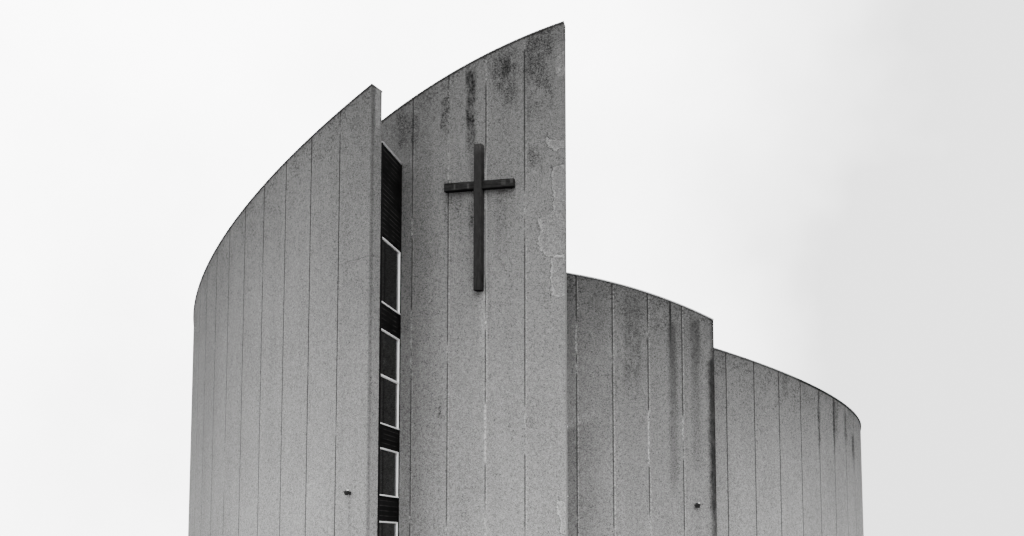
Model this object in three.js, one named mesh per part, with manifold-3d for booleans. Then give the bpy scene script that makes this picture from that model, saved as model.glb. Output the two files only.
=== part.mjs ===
// Modern church building: overlapping curved shell walls of roughcast concrete, their tops cut by slopes.
// Millimetres, +Z up. The origin is on the ground under the middle of the plan, and the front faces -Y.
import * as THREE from 'three';
import { mergeVertices } from 'three/addons/utils/BufferGeometryUtils.js';
import Module from 'manifold-3d';

const wasm = await Module();
wasm.setup();

// Clearance between neighbours that touch.
const GAP = 0.3;

// Concrete shells and slabs.
const WALL_T = 380;
const FLOOR_TOP = 200;
const ROOF_T = 380;
const PARAPET = 350;

// Each shell: centre and radius of its outer face, the angle of one panel, and that of one panel joint.
// Angles are in degrees from the -Y direction, growing towards +X. The top edge lies in the plane
// z = level + slopeX * x + slopeY * y.
const SHELL_A = {
  x: 11645,
  y: 2780,
  r: 24600,
  panel: 3.253,
  joint: -41.2,
  level: 14621,
  slopeX: 0.388,
  slopeY: -0.124,
};
const SHELL_B = {
  x: 3965,
  y: 3320,
  r: 18010,
  panel: 3.82,
  joint: -24.7,
  level: 4410,
  slopeX: 0.153,
  slopeY: -0.868,
};
const SHELL_C = {
  x: 2135,
  y: -2210,
  r: 9440,
  panel: 6.77,
  joint: -4.1,
  level: 4972,
  slopeX: -0.225,
  slopeY: -0.457,
};
const SHELL_D = {
  x: -975,
  y: 1800,
  r: 13930,
  panel: 4.94,
  joint: 31.5,
  level: 8257,
  slopeX: -0.183,
  slopeY: -0.063,
};
const REAR_R = 10884;
const REAR_PANELS = 14;
const SHELL_E = {
  x: SHELL_A.x - SHELL_A.r + REAR_R,
  y: SHELL_A.y,
  r: REAR_R,
  panel: 90 / REAR_PANELS,
  joint: -90,
  level: SHELL_A.level,
  slopeX: SHELL_A.slopeX,
  slopeY: SHELL_A.slopeY,
};
const FACETS_PER_PANEL = 2;

// Where each shell starts and ends, counted in panels from its named joint.
const A_PANELS = 15;
const A_START = SHELL_A.joint - A_PANELS * SHELL_A.panel;
const A_END = SHELL_A.joint;
const B_RETURN_START = SHELL_B.joint - 2 * SHELL_B.panel;
const B_START = SHELL_B.joint - 0.5 * SHELL_B.panel;
const B_END = SHELL_B.joint + 4 * SHELL_B.panel;
const C_START = SHELL_C.joint - SHELL_C.panel;
const C_END = SHELL_C.joint + 4 * SHELL_C.panel;
const D_START = 24.9;
const D_PANELS = 31;
const D_END = SHELL_D.joint + D_PANELS * SHELL_D.panel;
const E_START = -90;
const E_END = -180;

// Panel joints at which the long walls are divided, counted from A's and E's start and D's named joint.
const A_SEAMS = [5, 10];
const D_SEAMS = [4, 9, 15, 20, 25];
const E_SEAMS = [5, 10];

// How far the low roof reaches into the lap of shell D behind shell C, and the floor's first point there.
const D_LAP = 60;
const D_FLOOR_START = 29.9;

// Metal coping on every wall top.
const COPING_T = 50;
const COPING_OVERHANG = 30;
const COPING_STAGGER = 10;
const STEP_COPING_SETBACK = 110;
const D_COPING_START = 27.5;
const C_COPING_CLEAR = 0.5;

// Window strips that close the slots between shells: dark boarding with white framed windows.
const BOARD_T = 100;
const GLASS_T = 20;
const STRIP_EDGE = 60;
const FRAME_W = 45;
const FRAME_PROUD = 15;
const SILL_OUT = 50;
const SILL_T = 45;
const SILL_INSET = 5;
const STRIP_ON_B = 0.32;
const SLOT_TOP = 13150;
const SPINE_BOTTOM = 10160;
const REAR_STRIP_TOP = 7250;
const WINDOWS = [
  { bottom: 950, top: 2270, transoms: [] },
  { bottom: 2990, top: 4350, transoms: [] },
  { bottom: 5020, top: 7750, transoms: [6420] },
  { bottom: 8500, top: 10420, transoms: [] },
];

// Timber cross on shell B.
const CROSS_ANGLE = -17.6;
const UPRIGHT_W = 240;
const UPRIGHT_D = 260;
const UPRIGHT_BOTTOM = 9050;
const UPRIGHT_TOP = 13480;
const ARM_LENGTH = 2190;
const ARM_H = 260;
const ARM_D = 180;
const ARM_BOTTOM = 12110;

// Small floodlights fixed to shells A and C.
const LAMP_W = 160;
const LAMP_H = 150;
const LAMP_D = 120;
const LAMP_ARM = 60;
const LAMP_BRACKET_W = 55;
const LAMP_BRACKET_H = 60;
const LAMP_A_ANGLE = -42.9;
const LAMP_A_Z = 3000;
const LAMP_C_ANGLE = 18.65;
const LAMP_C_Z = 2750;

// Floor slab, set in a little from the outer faces.
const FLOOR_INSET = 20;

// How far rough shapes run past the faces that trim them, and a height above every top.
const OVERRUN = 1000;
const ABOVE_ALL = 26000;

// Corners closer than this are one corner.
const WELD = 0.001;

const rad = (deg) => (deg * Math.PI) / 180;

const building = new THREE.Group();

const MATERIALS = {
  concrete: new THREE.MeshStandardMaterial({ color: 0x8e8e8c, roughness: 0.95, metalness: 0 }),
  roof: new THREE.MeshStandardMaterial({ color: 0x5a5b5c, roughness: 0.9, metalness: 0 }),
  coping: new THREE.MeshStandardMaterial({ color: 0xa9abac, roughness: 0.5, metalness: 0.8 }),
  boarding: new THREE.MeshStandardMaterial({ color: 0x2b2a29, roughness: 0.8, metalness: 0 }),
  frame: new THREE.MeshStandardMaterial({ color: 0xe4e4e1, roughness: 0.6, metalness: 0 }),
  glass: new THREE.MeshStandardMaterial({ color: 0x1a1c1e, roughness: 0.1, metalness: 0 }),
  timber: new THREE.MeshStandardMaterial({ color: 0x3a3430, roughness: 0.8, metalness: 0 }),
  lamp: new THREE.MeshStandardMaterial({ color: 0x3c3d3e, roughness: 0.5, metalness: 0.6 }),
};

function addPiece(name, geometry, material) {
  const mesh = new THREE.Mesh(geometry, MATERIALS[material]);
  mesh.name = name;
  building.add(mesh);
}

function weld(geometry) {
  const bare = geometry.clone();
  bare.deleteAttribute('normal');
  bare.deleteAttribute('uv');
  return mergeVertices(bare, WELD);
}

function toSolid(geometry) {
  const merged = weld(geometry);
  return new wasm.Manifold(
    new wasm.Mesh({
      numProp: 3,
      vertProperties: new Float32Array(merged.attributes.position.array),
      triVerts: new Uint32Array(merged.index.array),
    }),
  );
}

function fromSolid(solid) {
  const mesh = solid.getMesh();
  const geometry = new THREE.BufferGeometry();
  geometry.setAttribute('position', new THREE.BufferAttribute(new Float32Array(mesh.vertProperties), 3));
  geometry.setIndex(new THREE.BufferAttribute(new Uint32Array(mesh.triVerts), 1));
  geometry.computeVertexNormals();
  return geometry;
}

// A point on a shell, a distance inside (negative) or outside (positive) of its outer face.
function onShell(shell, deg, out = 0) {
  const r = shell.r + out;
  return [shell.x + r * Math.sin(rad(deg)), shell.y - r * Math.cos(rad(deg))];
}

// The height of the plane that cuts a shell's top.
function shellTop(shell, x, y) {
  return shell.level + shell.slopeX * x + shell.slopeY * y;
}

// Part of a facet under which an end counts as lying on its corner.
const SAME_ANGLE = 0.01;

// The corner angles of a shell's facets between two angles, in order.
function facetAngles(shell, from, to) {
  const step = shell.panel / FACETS_PER_PANEL;
  const low = Math.min(from, to);
  const high = Math.max(from, to);
  const first = Math.ceil((low - shell.joint) / step + SAME_ANGLE);
  const last = Math.floor((high - shell.joint) / step - SAME_ANGLE);
  const angles = [low];
  for (let i = first; i <= last; i += 1) {
    angles.push(shell.joint + i * step);
  }
  angles.push(high);
  return from < to ? angles : angles.reverse();
}

function arcPoints(shell, from, to, out) {
  return facetAngles(shell, from, to).map((deg) => onShell(shell, deg, out));
}

// A prism on a plan outline whose underside and top follow two height functions.
function planPrism(points, bottomAt, topAt) {
  const shape = new THREE.Shape(points.map(([x, y]) => new THREE.Vector2(x, y)));
  const geometry = new THREE.ExtrudeGeometry(shape, { depth: 1, bevelEnabled: false });
  const position = geometry.attributes.position;
  for (let i = 0; i < position.count; i += 1) {
    const x = position.getX(i);
    const y = position.getY(i);
    const z = position.getZ(i) > 0.5 ? topAt(x, y) : bottomAt(x, y);
    position.setZ(i, z);
  }
  geometry.computeVertexNormals();
  return geometry;
}

function shellPiece(shell, from, to, bottom) {
  const outline = [...arcPoints(shell, from, to, 0), ...arcPoints(shell, to, from, -WALL_T)];
  return planPrism(outline, () => bottom, (x, y) => shellTop(shell, x, y));
}

// Where two straight lines in plan cross, each given by a point and a direction.
function meet([px, py], [ux, uy], [qx, qy], [vx, vy]) {
  const det = ux * vy - uy * vx;
  const along = ((qx - px) * vy - (qy - py) * vx) / det;
  return [px + ux * along, py + uy * along];
}

function direction(from, to) {
  const length = Math.hypot(to[0] - from[0], to[1] - from[1]);
  return [(to[0] - from[0]) / length, (to[1] - from[1]) / length];
}

function offset([x, y], [ux, uy], along, right = 0) {
  return [x + ux * along + uy * right, y + uy * along - ux * right];
}

// Shell walls, split at panel joints.
const BASE = FLOOR_TOP + GAP;

// The angle that a clearance takes up on a shell.
function seamAngle(shell, clear = GAP) {
  return (clear / shell.r) * (180 / Math.PI);
}

function addShellSegments(name, shell, stops) {
  for (let i = 0; i + 1 < stops.length; i += 1) {
    const sense = Math.sign(stops[i + 1] - stops[i]);
    const from = i === 0 ? stops[i] : stops[i] + sense * seamAngle(shell);
    const label = stops.length > 2 ? `${name}_${i + 1}` : name;
    addPiece(label, shellPiece(shell, from, stops[i + 1], BASE), 'concrete');
  }
}

const seamA = seamAngle(SHELL_A);
const aStops = [A_START + seamA, ...A_SEAMS.map((n) => A_START + n * SHELL_A.panel), A_END];
addShellSegments('wall_a', SHELL_A, aStops);
addShellSegments('wall_b', SHELL_B, [B_START, B_END]);
addShellSegments('wall_c', SHELL_C, [C_START, C_END]);
const dStops = [D_START, ...D_SEAMS.map((n) => SHELL_D.joint + n * SHELL_D.panel), D_END];
addShellSegments('wall_d', SHELL_D, dStops);
const eStops = [E_START, ...E_SEAMS.map((n) => E_START - n * SHELL_E.panel), E_END];
addShellSegments('wall_e', SHELL_E, eStops);

// Shell B runs on behind shell A's end, above the little roof of the first slot.
const seamB = seamAngle(SHELL_B);
const returnPiece = shellPiece(SHELL_B, B_RETURN_START, B_START - seamB, SLOT_TOP + GAP);
addPiece('wall_b_return', returnPiece, 'concrete');

// The straight line of the step wall: its right face runs from shell B's inner corner to the rear shell.
const spineFront = onShell(SHELL_B, B_END, -WALL_T);
const spineBack = onShell(SHELL_E, E_END, -WALL_T);
const spineDir = direction(spineFront, spineBack);
const facet = (shell) => shell.panel / FACETS_PER_PANEL;

// The direction of a shell's last facet at an end, away from that end, on its outer or inner face.
function facetDir(shell, end, sense, out = 0) {
  return direction(onShell(shell, end, out), onShell(shell, end + sense * facet(shell), out));
}

const bInnerDir = facetDir(SHELL_B, B_END, -1, -WALL_T);
const eInnerDir = facetDir(SHELL_E, E_END, 1, -WALL_T);

// Corners of a straight wall between two faces: right face on the line, thickness to its left.
function lineWallPlan(start, dir, startDir, end, endDir, rightOut, thickness, clear = GAP) {
  const startIn = offset(start, dir, clear);
  const endIn = offset(end, dir, -clear);
  const rightPoint = offset(start, dir, 0, rightOut);
  const leftPoint = offset(start, dir, 0, rightOut - thickness);
  return [
    meet(rightPoint, dir, startIn, startDir),
    meet(rightPoint, dir, endIn, endDir),
    meet(leftPoint, dir, endIn, endDir),
    meet(leftPoint, dir, startIn, startDir),
  ];
}

// A solid drawn in elevation (distance along a line, height), with its thickness between two offsets.
function elevationSolid(start, dir, shape, fromRight, toRight) {
  const geometry = new THREE.ExtrudeGeometry(shape, { depth: toRight - fromRight, bevelEnabled: false });
  const basis = new THREE.Matrix4().makeBasis(
    new THREE.Vector3(dir[0], dir[1], 0),
    new THREE.Vector3(0, 0, 1),
    new THREE.Vector3(dir[1], -dir[0], 0),
  );
  const origin = offset(start, dir, 0, fromRight);
  basis.setPosition(origin[0], origin[1], 0);
  geometry.applyMatrix4(basis);
  return geometry;
}

function rectangle(left, bottom, right, top) {
  return new THREE.Shape([
    new THREE.Vector2(left, bottom),
    new THREE.Vector2(right, bottom),
    new THREE.Vector2(right, top),
    new THREE.Vector2(left, top),
  ]);
}

const highTop = (x, y) => shellTop(SHELL_A, x, y);
const stepTop = (x, y) => highTop(x, y) - COPING_T - COPING_STAGGER;
const highRoofTop = (x, y) => highTop(x, y) - PARAPET;
const lowRoofTop = (x, y) => shellTop(SHELL_D, x, y) - PARAPET;

// The step wall between the high and the low roof.
const cFront = meet(spineFront, spineDir, onShell(SHELL_C, C_START), [1, 0]);
const cSpineLength = Math.hypot(cFront[0] - spineFront[0], cFront[1] - spineFront[1]);
const spineLength = Math.hypot(spineBack[0] - spineFront[0], spineBack[1] - spineFront[1]);
const spineStepAt = cSpineLength + WALL_T + 2 * COPING_OVERHANG;

function spineHeight(heightAt, along) {
  const [x, y] = offset(spineFront, spineDir, along);
  return heightAt(x, y);
}

const spineShape = new THREE.Shape([
  new THREE.Vector2(-OVERRUN, SPINE_BOTTOM),
  new THREE.Vector2(spineStepAt, SPINE_BOTTOM),
  new THREE.Vector2(spineStepAt, spineHeight(lowRoofTop, spineStepAt) - ROOF_T),
  new THREE.Vector2(spineLength + OVERRUN, spineHeight(lowRoofTop, spineLength + OVERRUN) - ROOF_T),
  new THREE.Vector2(spineLength + OVERRUN, ABOVE_ALL),
  new THREE.Vector2(-OVERRUN, ABOVE_ALL),
]);
const spinePlan = lineWallPlan(spineFront, spineDir, bInnerDir, spineBack, eInnerDir, 0, WALL_T);
const spineSolid = toSolid(elevationSolid(spineFront, spineDir, spineShape, -WALL_T - 1, 1)).intersect(
  toSolid(planPrism(spinePlan, () => 0, stepTop)),
);
addPiece('step_wall', fromSolid(spineSolid), 'concrete');

// Lines of the window strips.
const aInnerCorner = onShell(SHELL_A, A_END, -WALL_T);
const aInnerDir = facetDir(SHELL_A, A_END, -1, -WALL_T);
const bFirst = onShell(SHELL_B, B_START);
const bSecond = onShell(SHELL_B, B_START + facet(SHELL_B));
const bOuterDir = direction(bFirst, bSecond);
const bFoot = [
  bFirst[0] + (bSecond[0] - bFirst[0]) * STRIP_ON_B,
  bFirst[1] + (bSecond[1] - bFirst[1]) * STRIP_ON_B,
];
const dInnerCorner = onShell(SHELL_D, D_END, -WALL_T);
const dInnerDir = facetDir(SHELL_D, D_END, -1, -WALL_T);
const eOuterCorner = onShell(SHELL_E, E_END);
const eOuterDir = facetDir(SHELL_E, E_END, 1);
const cOuterDir = facetDir(SHELL_C, C_START, 1);
const cFoot = meet(spineFront, spineDir, onShell(SHELL_C, C_START), cOuterDir);

const STRIPS = [
  {
    name: 'ab',
    start: aInnerCorner,
    startDir: aInnerDir,
    end: bFoot,
    endDir: bOuterDir,
    top: SLOT_TOP,
    windows: 4,
  },
  {
    name: 'bc',
    start: spineFront,
    startDir: bInnerDir,
    end: cFoot,
    endDir: cOuterDir,
    top: SPINE_BOTTOM,
    windows: 3,
  },
  {
    name: 'de',
    start: dInnerCorner,
    startDir: dInnerDir,
    end: eOuterCorner,
    endDir: eOuterDir,
    top: REAR_STRIP_TOP,
    windows: 2,
  },
];

function windowFrame(start, dir, left, right, { bottom, top, transoms }) {
  const outline = rectangle(left, bottom, right, top);
  const levels = [bottom, ...transoms, top];
  for (let i = 0; i + 1 < levels.length; i += 1) {
    const low = levels[i] + (i === 0 ? FRAME_W : FRAME_W / 2);
    const high = levels[i + 1] - (i + 2 === levels.length ? FRAME_W : FRAME_W / 2);
    outline.holes.push(rectangle(left + FRAME_W, low, right - FRAME_W, high));
  }
  const frame = toSolid(elevationSolid(start, dir, outline, -BOARD_T, FRAME_PROUD));
  const sill = rectangle(left + SILL_INSET, bottom + SILL_INSET, right - SILL_INSET, bottom + SILL_T);
  return fromSolid(frame.add(toSolid(elevationSolid(start, dir, sill, -FRAME_PROUD, SILL_OUT))));
}

for (const { name, start, startDir, end, endDir, top, windows } of STRIPS) {
  const dir = direction(start, end);
  const length = Math.hypot(end[0] - start[0], end[1] - start[1]);
  const plan = lineWallPlan(start, dir, startDir, end, endDir, 0, BOARD_T);
  const along = plan.map(([x, y]) => (x - start[0]) * dir[0] + (y - start[1]) * dir[1]);
  const left = Math.max(along[0], along[3]) + STRIP_EDGE;
  const right = Math.min(along[1], along[2]) - STRIP_EDGE;
  const boards = rectangle(-OVERRUN, BASE, length + OVERRUN, top - GAP);
  for (const { bottom, top: head } of WINDOWS.slice(0, windows)) {
    boards.holes.push(rectangle(left - GAP, bottom - GAP, right + GAP, head + GAP));
  }
  const slab = toSolid(elevationSolid(start, dir, boards, -BOARD_T - 1, 1));
  const boarding = slab.intersect(toSolid(planPrism(plan, () => 0, () => ABOVE_ALL)));
  addPiece(`boarding_${name}`, fromSolid(boarding), 'boarding');
  for (let i = 0; i < windows; i += 1) {
    addPiece(`window_${name}_${i + 1}`, windowFrame(start, dir, left, right, WINDOWS[i]), 'frame');
  }
  const glassPlan = lineWallPlan(start, dir, startDir, end, endDir, -BOARD_T - GAP, GLASS_T);
  const glassTop = WINDOWS[windows - 1].top + STRIP_EDGE;
  addPiece(`glass_${name}`, planPrism(glassPlan, () => BASE, () => glassTop), 'glass');
}

// Floor slab under all walls.
const floorOutline = [
  ...arcPoints(SHELL_A, A_START, A_END, -FLOOR_INSET),
  onShell(SHELL_A, A_END, -WALL_T),
  bFoot,
  ...arcPoints(SHELL_B, B_START + facet(SHELL_B), B_END, -FLOOR_INSET),
  onShell(SHELL_B, B_END, -WALL_T),
  cFoot,
  ...arcPoints(SHELL_C, C_START + facet(SHELL_C), C_END, -FLOOR_INSET),
  onShell(SHELL_C, C_END, -WALL_T),
  ...arcPoints(SHELL_D, D_FLOOR_START, D_END, -FLOOR_INSET),
  dInnerCorner,
  eOuterCorner,
  ...arcPoints(SHELL_E, E_END, E_START, -FLOOR_INSET).slice(1, -1),
];
addPiece('floor_slab', planPrism(floorOutline, () => 0, () => FLOOR_TOP), 'concrete');

// Roofs lie behind the wall tops, which stand above them as parapets.
const INSIDE = -WALL_T - GAP;
const slotAngleA = A_END - 2 * SHELL_A.panel;
const slotSeam = seamAngle(SHELL_B, 2 * GAP);
const highOutline = [
  ...arcPoints(SHELL_A, A_START, slotAngleA, INSIDE),
  onShell(SHELL_B, B_RETURN_START - slotSeam, GAP),
  ...arcPoints(SHELL_B, B_RETURN_START - slotSeam, B_END - facet(SHELL_B), INSIDE),
  offset(spinePlan[3], spineDir, 0, -GAP),
  offset(spinePlan[2], spineDir, 0, -GAP),
  ...arcPoints(SHELL_E, E_END + facet(SHELL_E), E_START, INSIDE).slice(0, -1),
];
addPiece('roof_high', planPrism(highOutline, (x, y) => highRoofTop(x, y) - ROOF_T, highRoofTop), 'roof');

const seamD = seamAngle(SHELL_D);
const rearDir = direction(dInnerCorner, eOuterCorner);
const rearBehind = offset(dInnerCorner, rearDir, 0, -BOARD_T - GLASS_T - 3 * GAP);
const lowOutline = [
  offset(meet(spineFront, spineDir, onShell(SHELL_C, C_START, INSIDE), cOuterDir), spineDir, 0, GAP),
  ...arcPoints(SHELL_C, C_START + facet(SHELL_C), SHELL_C.joint + 3 * SHELL_C.panel, INSIDE),
  onShell(SHELL_D, D_START - seamD, -D_LAP),
  ...arcPoints(SHELL_D, D_START - seamD, D_END, INSIDE).slice(0, -1),
  meet(rearBehind, rearDir, onShell(SHELL_D, D_END, INSIDE), dInnerDir),
  meet(rearBehind, rearDir, offset(eOuterCorner, rearDir, GAP), eOuterDir),
  offset(eOuterCorner, rearDir, GAP, -GAP),
  offset(spineBack, rearDir, 0, -GAP),
];
addPiece('roof_low', planPrism(lowOutline, (x, y) => lowRoofTop(x, y) - ROOF_T, lowRoofTop), 'roof');

// The little roof over the first slot, between shell A's inner face and shell B.
const slotSeamA = seamAngle(SHELL_A, 2 * GAP);
const slotDir = direction(aInnerCorner, bFoot);
const SLOT_BACK = BOARD_T + GLASS_T + 3 * GAP;
const slotBehind = offset(aInnerCorner, slotDir, 0, -SLOT_BACK);
const slotOutline = [
  ...arcPoints(SHELL_A, slotAngleA + slotSeamA, A_END - facet(SHELL_A), INSIDE),
  offset(meet(slotBehind, slotDir, aInnerCorner, aInnerDir), slotDir, 2 * GAP),
  offset(meet(slotBehind, slotDir, bFirst, bOuterDir), slotDir, -2 * GAP),
  onShell(SHELL_B, B_START - seamB, GAP),
  ...arcPoints(SHELL_B, B_START - seamB, B_RETURN_START, -WALL_T),
];
addPiece('roof_slot', planPrism(slotOutline, () => SLOT_TOP - ROOF_T, () => SLOT_TOP), 'roof');

// Metal copings follow the wall tops.
function copingPiece(shell, from, to) {
  const outline = [
    ...arcPoints(shell, from, to, COPING_OVERHANG),
    ...arcPoints(shell, to, from, -WALL_T - COPING_OVERHANG),
  ];
  const foot = (x, y) => shellTop(shell, x, y) + GAP;
  return planPrism(outline, foot, (x, y) => foot(x, y) + COPING_T);
}

addPiece('coping_a', copingPiece(SHELL_A, A_START + seamA, A_END), 'coping');
addPiece('coping_e', copingPiece(SHELL_E, E_START, E_END), 'coping');
addPiece('coping_b', copingPiece(SHELL_B, B_RETURN_START, B_END), 'coping');
const cCopingStart = Math.atan2(cFront[0] - SHELL_C.x, SHELL_C.y - cFront[1]) * (180 / Math.PI);
addPiece('coping_c', copingPiece(SHELL_C, cCopingStart + C_COPING_CLEAR, C_END), 'coping');
addPiece('coping_d', copingPiece(SHELL_D, D_COPING_START, D_END), 'coping');

// Straight copings: on the step wall and over the first window strip.
function lineCoping(start, dir, startDir, end, endDir, thickness, heightAt) {
  const outline = lineWallPlan(
    start,
    dir,
    startDir,
    end,
    endDir,
    COPING_OVERHANG,
    thickness + 2 * COPING_OVERHANG,
    COPING_OVERHANG + COPING_STAGGER,
  );
  return planPrism(outline, (x, y) => heightAt(x, y) + GAP, (x, y) => heightAt(x, y) + GAP + COPING_T);
}

// The step wall's coping starts a little behind the tall shell, so that it stays out of its outline.
const stepCopingStart = offset(spineFront, spineDir, STEP_COPING_SETBACK);
addPiece(
  'coping_step',
  lineCoping(stepCopingStart, spineDir, bInnerDir, spineBack, eInnerDir, WALL_T, stepTop),
  'coping',
);
addPiece(
  'coping_slot',
  lineCoping(aInnerCorner, slotDir, aInnerDir, bFoot, bOuterDir, BOARD_T, () => SLOT_TOP),
  'coping',
);

// The flat facet of a shell at an angle: the point on it, and its direction.
function facetFrame(shell, deg) {
  const stops = facetAngles(shell, deg - shell.panel, deg + shell.panel);
  const next = stops.findIndex((stop) => stop > deg);
  const before = onShell(shell, stops[next - 1]);
  const dir = direction(before, onShell(shell, stops[next]));
  const point = meet([shell.x, shell.y], [Math.sin(rad(deg)), -Math.cos(rad(deg))], before, dir);
  return { point, dir };
}

// A box on a facet, from a near to a far distance off the wall.
function facetBox(shell, deg, { width, bottom, top, near, far }) {
  const { point, dir } = facetFrame(shell, deg);
  return toSolid(elevationSolid(point, dir, rectangle(-width / 2, bottom, width / 2, top), near, far));
}

// The cross: the arm lies on the wall, and the deeper upright is notched over it.
const armTop = ARM_BOTTOM + ARM_H;
const arm = facetBox(SHELL_B, CROSS_ANGLE, {
  width: ARM_LENGTH,
  bottom: ARM_BOTTOM,
  top: armTop,
  near: GAP,
  far: ARM_D,
});
addPiece('cross_arm', fromSolid(arm), 'timber');
const uprightBlank = facetBox(SHELL_B, CROSS_ANGLE, {
  width: UPRIGHT_W,
  bottom: UPRIGHT_BOTTOM,
  top: UPRIGHT_TOP,
  near: GAP,
  far: UPRIGHT_D,
});
const notch = facetBox(SHELL_B, CROSS_ANGLE, {
  width: ARM_LENGTH,
  bottom: ARM_BOTTOM - GAP,
  top: armTop + GAP,
  near: -GAP,
  far: ARM_D + GAP,
});
addPiece('cross_upright', fromSolid(uprightBlank.subtract(notch)), 'timber');

// Floodlights: a lamp box on a short bracket.
function floodlight(shell, deg, z) {
  const body = facetBox(shell, deg, {
    width: LAMP_W,
    bottom: z,
    top: z + LAMP_H,
    near: LAMP_ARM,
    far: LAMP_ARM + LAMP_D,
  });
  const bracket = facetBox(shell, deg, {
    width: LAMP_BRACKET_W,
    bottom: z,
    top: z + LAMP_BRACKET_H,
    near: GAP,
    far: LAMP_ARM + LAMP_D / 2,
  });
  return fromSolid(body.add(bracket));
}

addPiece('floodlight_left', floodlight(SHELL_A, LAMP_A_ANGLE, LAMP_A_Z), 'lamp');
addPiece('floodlight_right', floodlight(SHELL_C, LAMP_C_ANGLE, LAMP_C_Z), 'lamp');

export default building;
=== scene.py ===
# %% [markdown]
# # A church of curved concrete shells
# The building is a ring of overlapping curved walls of roughcast concrete. Each wall top is cut by a slope,
# and tall window strips close the slots between the walls. The construction is loaded as a fixed frame, in
# metres, and this lesson dresses it: smooth walls with real panel joints, boards, frames, glass, roofs, a
# timber cross and two floodlights.

import math

import bmesh
import bpy
from mathutils import Matrix, Vector


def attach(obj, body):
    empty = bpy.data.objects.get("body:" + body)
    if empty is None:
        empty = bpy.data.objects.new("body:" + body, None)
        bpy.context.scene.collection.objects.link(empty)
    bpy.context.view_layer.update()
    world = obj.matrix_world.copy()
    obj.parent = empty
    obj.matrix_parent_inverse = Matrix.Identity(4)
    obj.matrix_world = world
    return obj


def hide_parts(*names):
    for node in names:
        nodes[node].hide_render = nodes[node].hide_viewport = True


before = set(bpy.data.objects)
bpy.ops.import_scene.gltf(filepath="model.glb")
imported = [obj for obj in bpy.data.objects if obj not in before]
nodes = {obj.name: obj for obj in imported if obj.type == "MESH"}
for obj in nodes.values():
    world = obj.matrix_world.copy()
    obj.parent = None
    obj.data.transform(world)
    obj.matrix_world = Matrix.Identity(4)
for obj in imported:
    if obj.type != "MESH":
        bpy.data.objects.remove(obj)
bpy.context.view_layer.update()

# %% [markdown]
# ## The camera comes first
# The photo looks up at the building from a standing person's height, and its verticals stay nearly upright.
# An upward pitch alone would make the walls lean inwards, and a shifted lens alone would push the building
# out of every other view. A little of both keeps the walls nearly upright and the building in view.

# %% Camera
EYE = (-0.535, -57.71, 1.6)
PITCH_DEG = 7.025
FOCAL_PX = 1500.0
IMAGE_W_PX = 1024.0
SENSOR_MM = 36.0
LENS_SHIFT_Y = 0.09
VIEW_REACH = 1000.0

camera_data = bpy.data.cameras.new("camera")
camera_data.sensor_width = SENSOR_MM
camera_data.lens = FOCAL_PX / IMAGE_W_PX * SENSOR_MM
camera_data.shift_y = LENS_SHIFT_Y
camera_data.clip_end = VIEW_REACH
camera = bpy.data.objects.new("camera", camera_data)
bpy.context.scene.collection.objects.link(camera)
camera.location = EYE
camera.rotation_euler = (math.radians(90.0 + PITCH_DEG), 0.0, 0.0)
bpy.context.scene.camera = camera
print("lens in mm:", round(camera_data.lens, 2))

# %% [markdown]
# ## Sums on sockets
# A node tree is a sum written with boxes. The small class below wraps one socket and lets Python's own
# signs add the Math nodes, so a mask reads like a formula. Each sign has a mirrored form too, for a plain
# number on its left, as in 1 - mask.


# %% A socket that can be added and multiplied
class Value:
    def __init__(self, graph, socket):
        self.graph = graph
        self.socket = socket

    def __add__(self, other):
        return self.graph.math("ADD", self, other)

    def __radd__(self, other):
        return self.graph.math("ADD", other, self)

    def __sub__(self, other):
        return self.graph.math("SUBTRACT", self, other)

    def __rsub__(self, other):
        return self.graph.math("SUBTRACT", other, self)

    def __mul__(self, other):
        return self.graph.math("MULTIPLY", self, other)

    def __rmul__(self, other):
        return self.graph.math("MULTIPLY", other, self)

    def __truediv__(self, other):
        return self.graph.math("DIVIDE", self, other)

    def __rtruediv__(self, other):
        return self.graph.math("DIVIDE", other, self)


SIGNS = ("add", "sub", "mul", "truediv")
print("signs with a mirrored form:", [sign for sign in SIGNS if hasattr(Value, f"__r{sign}__")])

# %% [markdown]
# The second class wraps a whole tree. One method makes every kind of node: it takes the type, the settings,
# and the values or links of the sockets. The short methods after it name the sums that come again and
# again, such as a smooth ramp, a band round a line, or a tone that dies away with distance.


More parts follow.
